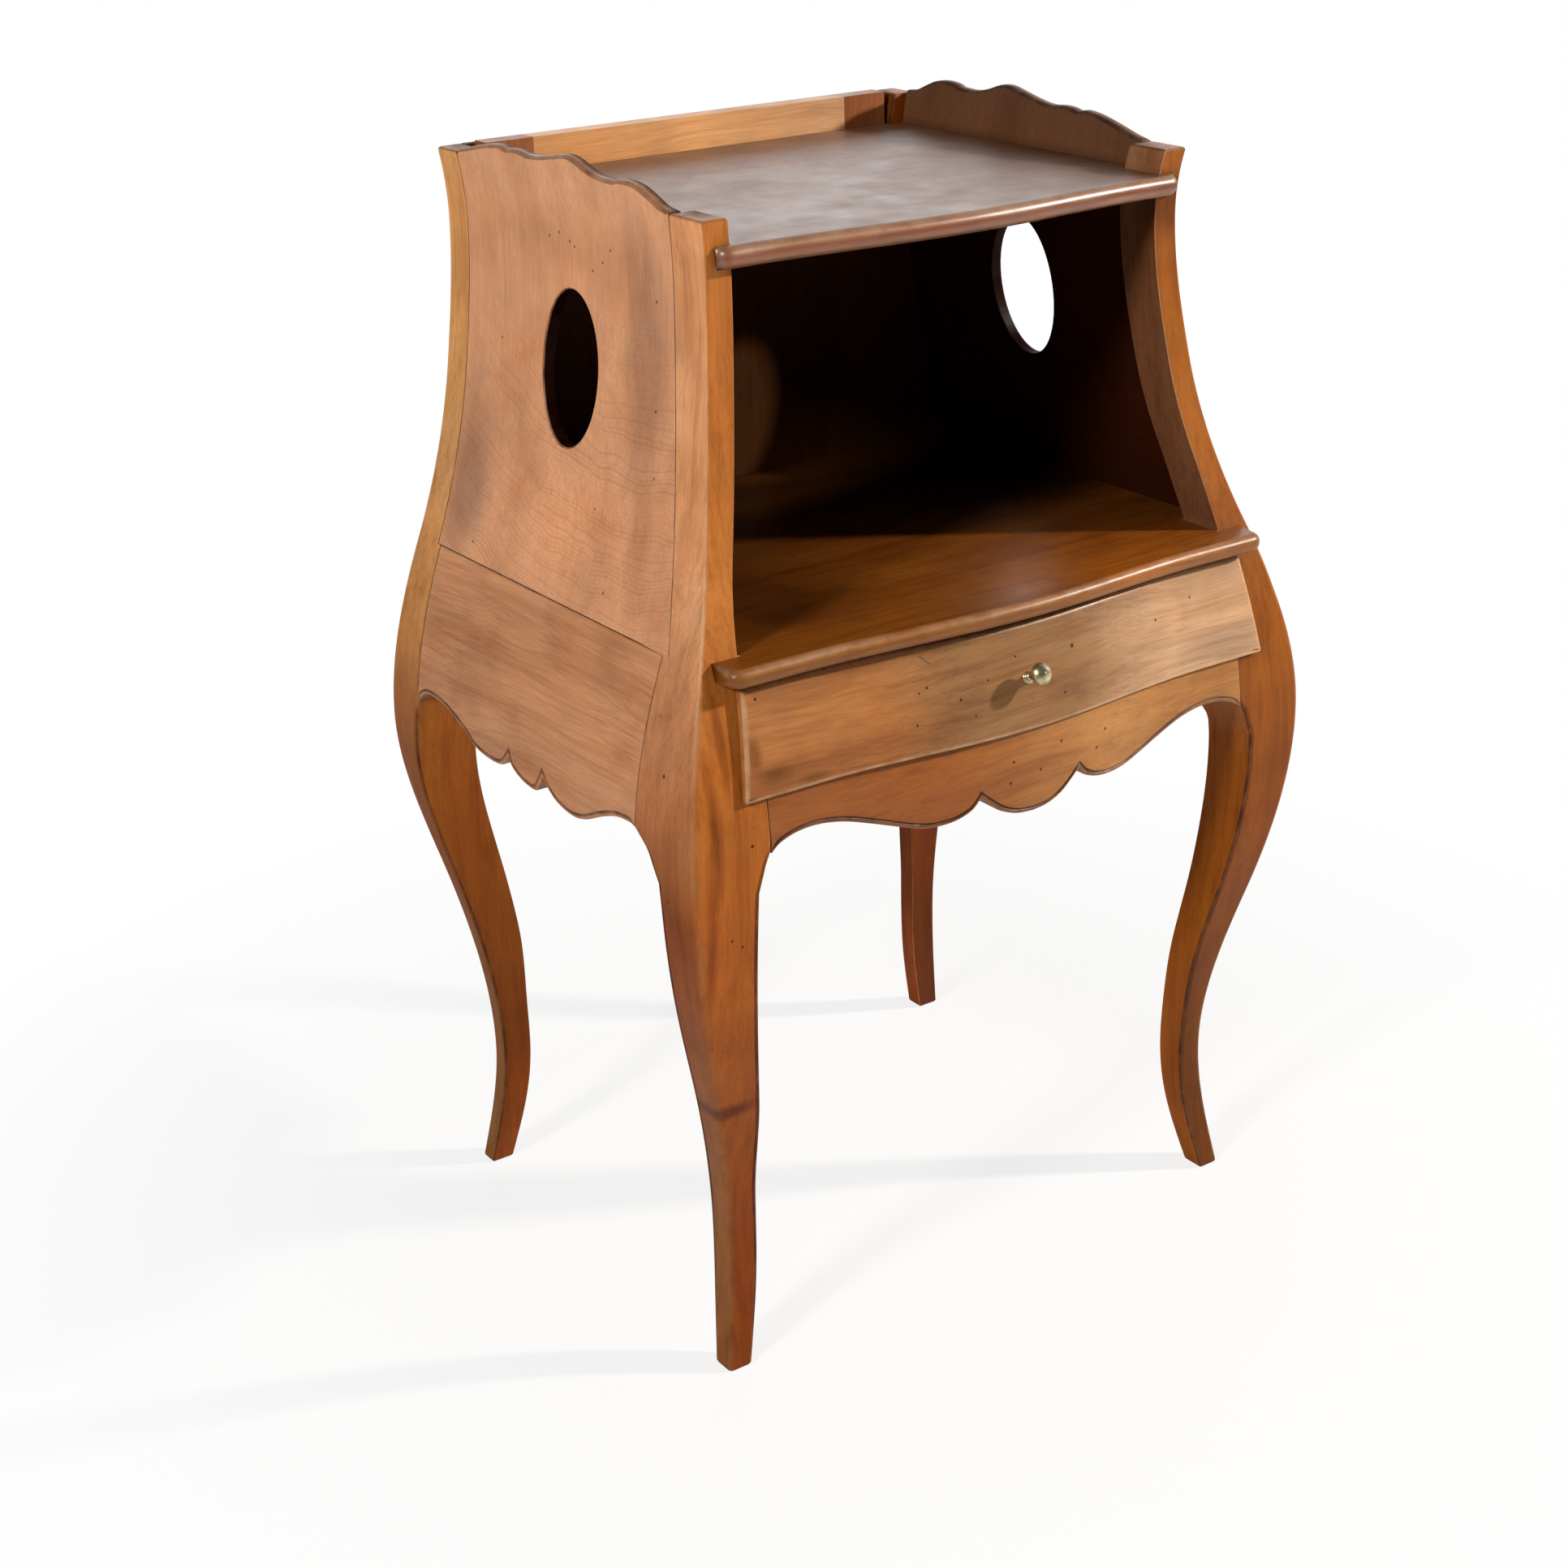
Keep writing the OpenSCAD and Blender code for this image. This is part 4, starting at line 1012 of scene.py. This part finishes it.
    # Worm holes and dents
    cells = s.node("ShaderNodeTexVoronoi")
    s.put(cells.inputs["Vector"], s.vector("MULTIPLY", grain, (0.6, 1, 1)))
    cells.inputs["Scale"].default_value = 45.0
    picked = s.node("ShaderNodeSeparateColor")
    s.put(picked.inputs[0], cells.outputs["Color"])
    size = s.spread(picked.outputs[0], 1.0 - 0.35 * specks, 1.0, 0.0, 0.05)
    hole = s.spread(s.maths("SUBTRACT", size, cells.outputs["Distance"]), 0.0, 0.02)
    for middle, radii, strength in spots:
        hole = s.maths("MAXIMUM", hole, s.spread(reach(s, place, middle, radii), 1.0, 0.45, 0.0, strength))
    tone = s.tint(hole, tone, HOLLOW)

    # Faces inside the case get painted shade, dark and dull, less so above the top board. Edges are worn
    # pale, with a painted highlight at the front posts' waist, and hold dirt, with painted shade in grooves
    # and on undersides.
    inside_shade = s.times(s.attribute("inside"), s.spread(height, 0.715, 0.73, 1.0, 0.81))
    tone = s.tint(inside_shade, tone, INSIDE_SHADE)
    rub = s.spread(s.noise(grain, 70.0, 3.0, 0.6), 0.35, 0.6)
    tone = s.mix(s.times(s.attribute("wear"), s.spread(rub, 0, 1, 0.3, 0.8)), tone, WORN_AND_HIGHLIGHT)
    tone = s.tint(s.times(s.attribute("dirt"), s.spread(rub, 0, 1, 0.95, 0.65)), tone, GRIME_AND_SHADE)
    s.put(s.surface.inputs["Base Color"], tone)

    # Wax, with a dull share, over raised fibres
    rough = s.spread(s.noise(grain, 30.0, 3.0, 0.6), 0.3, 0.7, gloss - 0.06, gloss + 0.08)
    s.put(s.surface.inputs["Roughness"], rough)
    s.surface.inputs["Specular IOR Level"].default_value = shine
    raised = s.maths("ADD", s.times(fibre, 0.35), s.times(streak, -0.2))
    s.bump(s.maths("SUBTRACT", raised, s.times(hole, 1.5)), relief, 0.0004)
    unwaxed = s.node("ShaderNodeBsdfDiffuse")
    s.put(unwaxed.inputs["Color"], tone)
    s.cover(s.maths("MAXIMUM", s.times(inside_shade, 0.8), matt), unwaxed)
    return s.material


def metal(name, colour, tarnish, rough):
    s = Shader(name)
    place = s.coordinates("Object")
    cloud = s.spread(s.noise(place, 260.0, 4.0, 0.6), 0.35, 0.7)
    s.put(s.surface.inputs["Base Color"], s.mix(cloud, linear(*colour), linear(*tarnish)))
    s.surface.inputs["Metallic"].default_value = 1.0
    s.put(s.surface.inputs["Roughness"], s.spread(cloud, 0, 1, rough, rough + 0.18))
    fine = s.noise(s.vector("MULTIPLY", place, (900, 900, 900)), 1.0, 3.0)
    s.bump(fine, 0.12, 0.0002)
    return s.material


def silvered(name):
    """Old mirror glass with a little foxing."""
    s = Shader(name)
    fox = s.spread(s.noise(s.coordinates("Object"), 55.0, 6.0, 0.7), 0.62, 0.8)
    tone = s.mix(s.times(fox, 0.5), linear(226, 230, 228), linear(120, 110, 96))
    s.put(s.surface.inputs["Base Color"], tone)
    s.surface.inputs["Metallic"].default_value = 1.0
    s.put(s.surface.inputs["Roughness"], s.spread(fox, 0, 1, 0.03, 0.3))
    return s.material


add_camera()
add_studio()

# Legs, with the places and colours of their lower parts, darker toward the feet partly as painted shade
LEFT_LEG_LOW = [(500, 330, (144, 77, 19), (182, 106, 36)), (300, 90, (144, 92, 40), (143, 74, 18))]
# Lower side colours of the right legs, bright as painted light for inner faces that lie in shade
RIGHT_LEG_LOW = [(500, 330, (189, 110, 22), (144, 80, 14)), (300, 90, (197, 118, 32), (108, 62, 18))]
# Painted shade, darker toward the feet
LEG_PAINTED_SHADE = ("Z", 400, 250, (0.92, 0.84, 0.68))
LEFT_LEG_PATCHES = [
    ((-218, -206, 446), (4, 30, 36), (0.6, 0.5, 0.38)),
    ((-230, -217, 390), (6, 30, 46), (0.52, 0.42, 0.3)),
    ((-235, -216, 318), (5, 16, 70), (0.62, 0.5, 0.38)),
    ((-210, -190, 189), (30, 45, 7), (0.4, 0.3, 0.25)),
    ((-205, -165, 450), (40, 26, 70), (0.76, 0.8, 0.88)),
    ((-205, 140, 560), (20, 26, 90), (0.8, 0.82, 0.85)),
]
LEFT_LEG_SPOTS = [
    ((-240.3, -179.4, 417.5), (3, 1.6, 1.6), 1.0), ((-246.7, -188.4, 341.3), (3, 1.2, 1.2), 0.9),
    ((-221.1, -217.6, 319.2), (1.3, 3, 1.3), 1.0), ((-213.4, -217.0, 312.9), (1.2, 3, 1.2), 1.0),
    ((-205.2, -218.7, 376.6), (1.5, 3, 1.5), 1.0),
]
# A painted shadow of the top board's nose on the right front post, and a mark on the right front leg
RIGHT_LEG_SHADOW_AND_MARK = [
    ((180, -160, 700), (25, 30, 26), (0.5, 0.48, 0.45)),
    ((234, -177, 305), (14, 7, 7), (0.5, 0.42, 0.4)),
]
left_leg_wood = wood(
    "left_leg_wood", (222, 162, 116), (192, 120, 54), low=LEFT_LEG_LOW, streaks=0.5, clouds=0.4, shine=0.12,
    shades=[LEG_PAINTED_SHADE, ("Y", 0, 80, (0.98, 1.0, 0.75))], patches=LEFT_LEG_PATCHES, spots=LEFT_LEG_SPOTS,
)
# Right legs: outer takes the painted light off faces that look to the right, and the rear right leg gets
# painted shade
right_leg_wood = wood(
    "right_leg_wood", (224, 163, 117), (160, 94, 32), outer=(0.6, 0.58, 0.75), low=RIGHT_LEG_LOW,
    streaks=0.5, clouds=0.4, shine=0.12, shades=[LEG_PAINTED_SHADE, ("Y", -80, 40, (0.95, 0.68, 0.3))],
    patches=RIGHT_LEG_SHADOW_AND_MARK,
)

# Boards of the sides, whose dots are (y, z)
PANEL_PATCHES = [
    (on_side(-95, 640), (30, 30, 90), (0.62, 0.6, 0.62)),
    (on_side(110, 535), (30, 32, 78), (0.58, 0.58, 0.62)),
    (on_side(-104, 540), (30, 16, 40), (0.78, 0.74, 0.7)),
    (on_side(20, 705), (30, 70, 22), (0.86, 0.84, 0.82)),
    (on_side(-60, 690), (30, 40, 26), (0.88, 0.85, 0.82)),
    (on_side(-10, 530), (30, 70, 36), (1.1, 1.08, 1.05)),
]
PANEL_DOTS = [
    (21, 704.6), (8.5, 708.6), (-3.7, 704.7), (-9.2, 701.9), (-52, 706), (-102.7, 682.8), (82.9, 628.7),
    (-105.6, 616.4), (-49.3, 544.9), (-76.5, 499.5), (-109.8, 576.7), (86.1, 493.5), (-30, 690), (-42, 697),
]
PANEL_RINGS = dict(
    middle=(0, -60, 900), across=(0, 1, 1), gap=0.0029, wander=22.0, heights=(0.58, 0.70), strength=0.42,
)
RAIL_RINGS = dict(
    middle=(0, -60, 330), across=(0, 0.35, 1), gap=0.004, wander=22.0, heights=(2.0, 3.0), strength=0.22,
)
# The right panel is darker than the left, inside and out, as painted shade
panel_wood = wood(
    "panel_wood", (219, 162, 122), axis="Z", streaks=0.16, clouds=0.45, specks=0.3, rings=PANEL_RINGS,
    shades=[("X", 0, 150, (0.76, 0.73, 0.7))], patches=PANEL_PATCHES,
    spots=[(on_side(y, z), (3, 1.3, 1.3), 0.85) for y, z in PANEL_DOTS],
)
# The right rail is darker than the left as painted shade
rail_wood = wood(
    "rail_wood", (202, 146, 105), axis="Y", streaks=0.45, clouds=0.45, specks=0.3, rings=RAIL_RINGS,
    shades=[("X", 0, 150, (0.8, 0.78, 0.75))],
)

# Top and shelf
# A painted dark reflection of the right gallery on the right end of the top board
TOP_PAINTED_REFLECTION = [((190, -40, 724), (40, 150, 30), (0.4, 0.4, 0.45))]
# Painted shadows on the right back and the left of the shelf, and a painted pool of light at its right
# front
SHELF_PAINTED_LIGHT_AND_SHADE = [
    ((165, -20, 486), (110, 130, 20), (0.28, 0.32, 0.5)),
    ((-125, -110, 486), (70, 90, 20), (0.45, 0.42, 0.42)),
    ((95, -195, 486), (90, 60, 20), (1.35, 1.3, 1.1)),
]
top_wood = wood(
    "top_wood", (112, 76, 53), (128, 70, 30), axis="X", streaks=0.6, clouds=0.3, specks=0.05,
    patches=TOP_PAINTED_REFLECTION, gloss=0.37, shine=0.8, relief=0.05,
)
# The shelf darkens toward the back as painted shade
shelf_wood = wood(
    "shelf_wood", (124, 70, 18), (138, 84, 24), axis="X", streaks=0.6, clouds=0.35, specks=0.1,
    shades=[("Y", -90, 30, (0.25, 0.25, 0.25))], patches=SHELF_PAINTED_LIGHT_AND_SHADE, gloss=0.34, shine=0.3,
)

# Drawer front, with holes (x, z, radius), and apron, with holes (x, z)
DRAWER_HOLES = [
    (-74.5, 445.6, 1.2), (-80.4, 443.2, 1.0), (-52.2, 434.0, 1.3), (-30.8, 441.7, 1.0), (-7.9, 451.7, 1.1),
    (39.0, 448.0, 1.9), (27.8, 421.2, 1.2), (-42.9, 421.9, 1.0), (-84.5, 424.5, 1.1), (117.3, 445.6, 1.2),
    (150.7, 452.9, 1.1), (-193.0, 463.3, 1.4), (7.6, 444.6, 0.6), (-13.7, 444.3, 0.6), (1.3, 423.6, 0.6),
    (-95.3, 429.0, 0.6), (72.0, 436.5, 0.7), (-141.1, 470.0, 1.5),
]
SCRATCHES = [((-76.1, 464.9), (-70.7, 459.7)), ((-48.4, 439.4), (-34.9, 441.5))]
drawer_spots = [(on_drawer(x, z), (r, 3, r), min(1.0, r)) for x, z, r in DRAWER_HOLES]
for start, end in SCRATCHES:
    for x, z in zip(steps(start[0], end[0], 6), steps(start[1], end[1], 6)):
        drawer_spots.append((on_drawer(x, z), (1.4, 3, 0.5), 0.6))
FRONT_PATCHES = [
    (on_drawer(-186, 417), (15, 20, 7), (0.6, 0.56, 0.35)),
    (on_drawer(-160, 409), (14, 20, 4), (0.66, 0.62, 0.45)),
    (on_drawer(-200, 432), (6, 20, 12), (0.6, 0.52, 0.36)),
    (on_drawer(178, 418), (46, 30, 13), (0.72, 0.75, 0.8)),
]
APRON_HOLES = [(25.1, 389.0), (64.5, 386.5), (55.7, 376.2), (6.4, 375.0), (-18.1, 371.7), (-14.6, 384.8)]
front_wood = wood(
    "front_wood", (201, 162, 126), axis="X", streaks=0.55, clouds=0.45, specks=0.15,
    shades=[("X", 130, 40, (0.505, 0.42, 0.29)), ("X", -50, -110, (1.33, 1.06, 0.8))],
    patches=FRONT_PATCHES, spots=drawer_spots,
)
# A thin painted shadow on the apron right under the drawer's lip
apron_wood = wood(
    "apron_wood", (185, 131, 72), axis="X", streaks=0.5, clouds=0.4, specks=0.3,
    shades=[("X", 60, -60, (0.66, 0.45, 0.31)), ("Z", 402.0, 403.4, (0.4, 0.32, 0.26))],
    spots=[(on_apron(x, z), (1.3, 3, 1.3), 1.0) for x, z in APRON_HOLES],
)

# Mirror, back, drawer box and metal
# The mirror rails are darker toward the right end as painted shade of the right panel
mirror_wood = wood(
    "mirror_wood", (222, 166, 110), axis="X", streaks=0.35, clouds=0.25, specks=0.1,
    shades=[("X", 0, 110, (0.76, 0.8, 1.0))],
)
stile_wood = wood("stile_wood", (156, 98, 58), axis="Z", streaks=0.4, specks=0.1)
back_rail_wood = wood("back_rail_wood", (158, 104, 66), axis="X", streaks=0.5, specks=0.1, gloss=0.55)
board_wood = wood("board_wood", (112, 74, 44), axis="Z", streaks=0.5, specks=0.2, gloss=0.6)
inner_wood = wood("inner_wood", (66, 38, 18), axis="Z", streaks=0.4, specks=0.1, matt=0.9)
box_wood = wood("box_wood", (164, 118, 76), axis="Y", streaks=0.45, specks=0.2, gloss=0.55)
peg_wood = wood("peg_wood", (104, 62, 36), axis="X", specks=0.0)
brass = metal("brass", (215, 206, 168), (150, 140, 106), 0.26)
steel = metal("steel", (170, 168, 160), (110, 100, 88), 0.4)
glass = silvered("mirror_silver")

for name, side, rear in (
    ("front_left_post", -1, False), ("front_right_post", 1, False),
    ("rear_left_post", -1, True), ("rear_right_post", 1, True),
):
    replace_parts(post(name + "_turned", side, rear, right_leg_wood if side > 0 else left_leg_wood), name)
for name, side in (("left_panel", -1), ("right_panel", 1)):
    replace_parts(side_panel(name + "_board", side, panel_wood), name)
for name, side in (("left_side_rail", -1), ("right_side_rail", 1)):
    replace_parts(side_rail(name + "_board", side, rail_wood), name)
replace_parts(table_top(top_wood), "table_top")
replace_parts(shelf(shelf_wood), "shelf")
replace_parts(front_apron(apron_wood), "front_apron")
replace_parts(drawer_front(front_wood), "drawer_front")
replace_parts(knob(brass), "knob")

# CAD nodes that stay, with their materials. All but the sharp ones get a small rounding of their edges.
FINISHES = {
    "rear_rail": back_rail_wood, "inner_back": inner_wood, "outer_back": board_wood,
    "left_mirror_guide": board_wood, "right_mirror_guide": board_wood,
    "left_drawer_runner": box_wood, "right_drawer_runner": box_wood,
    "left_drawer_guide": box_wood, "right_drawer_guide": box_wood,
    "joint_pegs": peg_wood, "back_screws": steel,
    "drawer_left_side": box_wood, "drawer_right_side": box_wood, "drawer_back": box_wood,
    "drawer_bottom": box_wood, "knob_screw": steel,
    "mirror_left_stile": stile_wood, "mirror_right_stile": stile_wood,
    "mirror_top_rail": mirror_wood, "mirror_bottom_rail": mirror_wood,
    "mirror_glass": glass, "mirror_backboard": board_wood, "backboard_beads": board_wood,
    "mirror_stop_blocks": box_wood, "mirror_springs": steel,
}
SHARP = ("mirror_glass", "mirror_springs", "joint_pegs")
for name, material in FINISHES.items():
    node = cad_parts[name]
    node.data.materials.clear()
    node.data.materials.append(material)
    if name not in SHARP:
        bevel = node.modifiers.new("edges", "BEVEL")
        bevel.width = 0.0006
        bevel.segments = 2
        bevel.limit_method = "ANGLE"
        bevel.angle_limit = math.radians(40)
        bevel.harden_normals = True
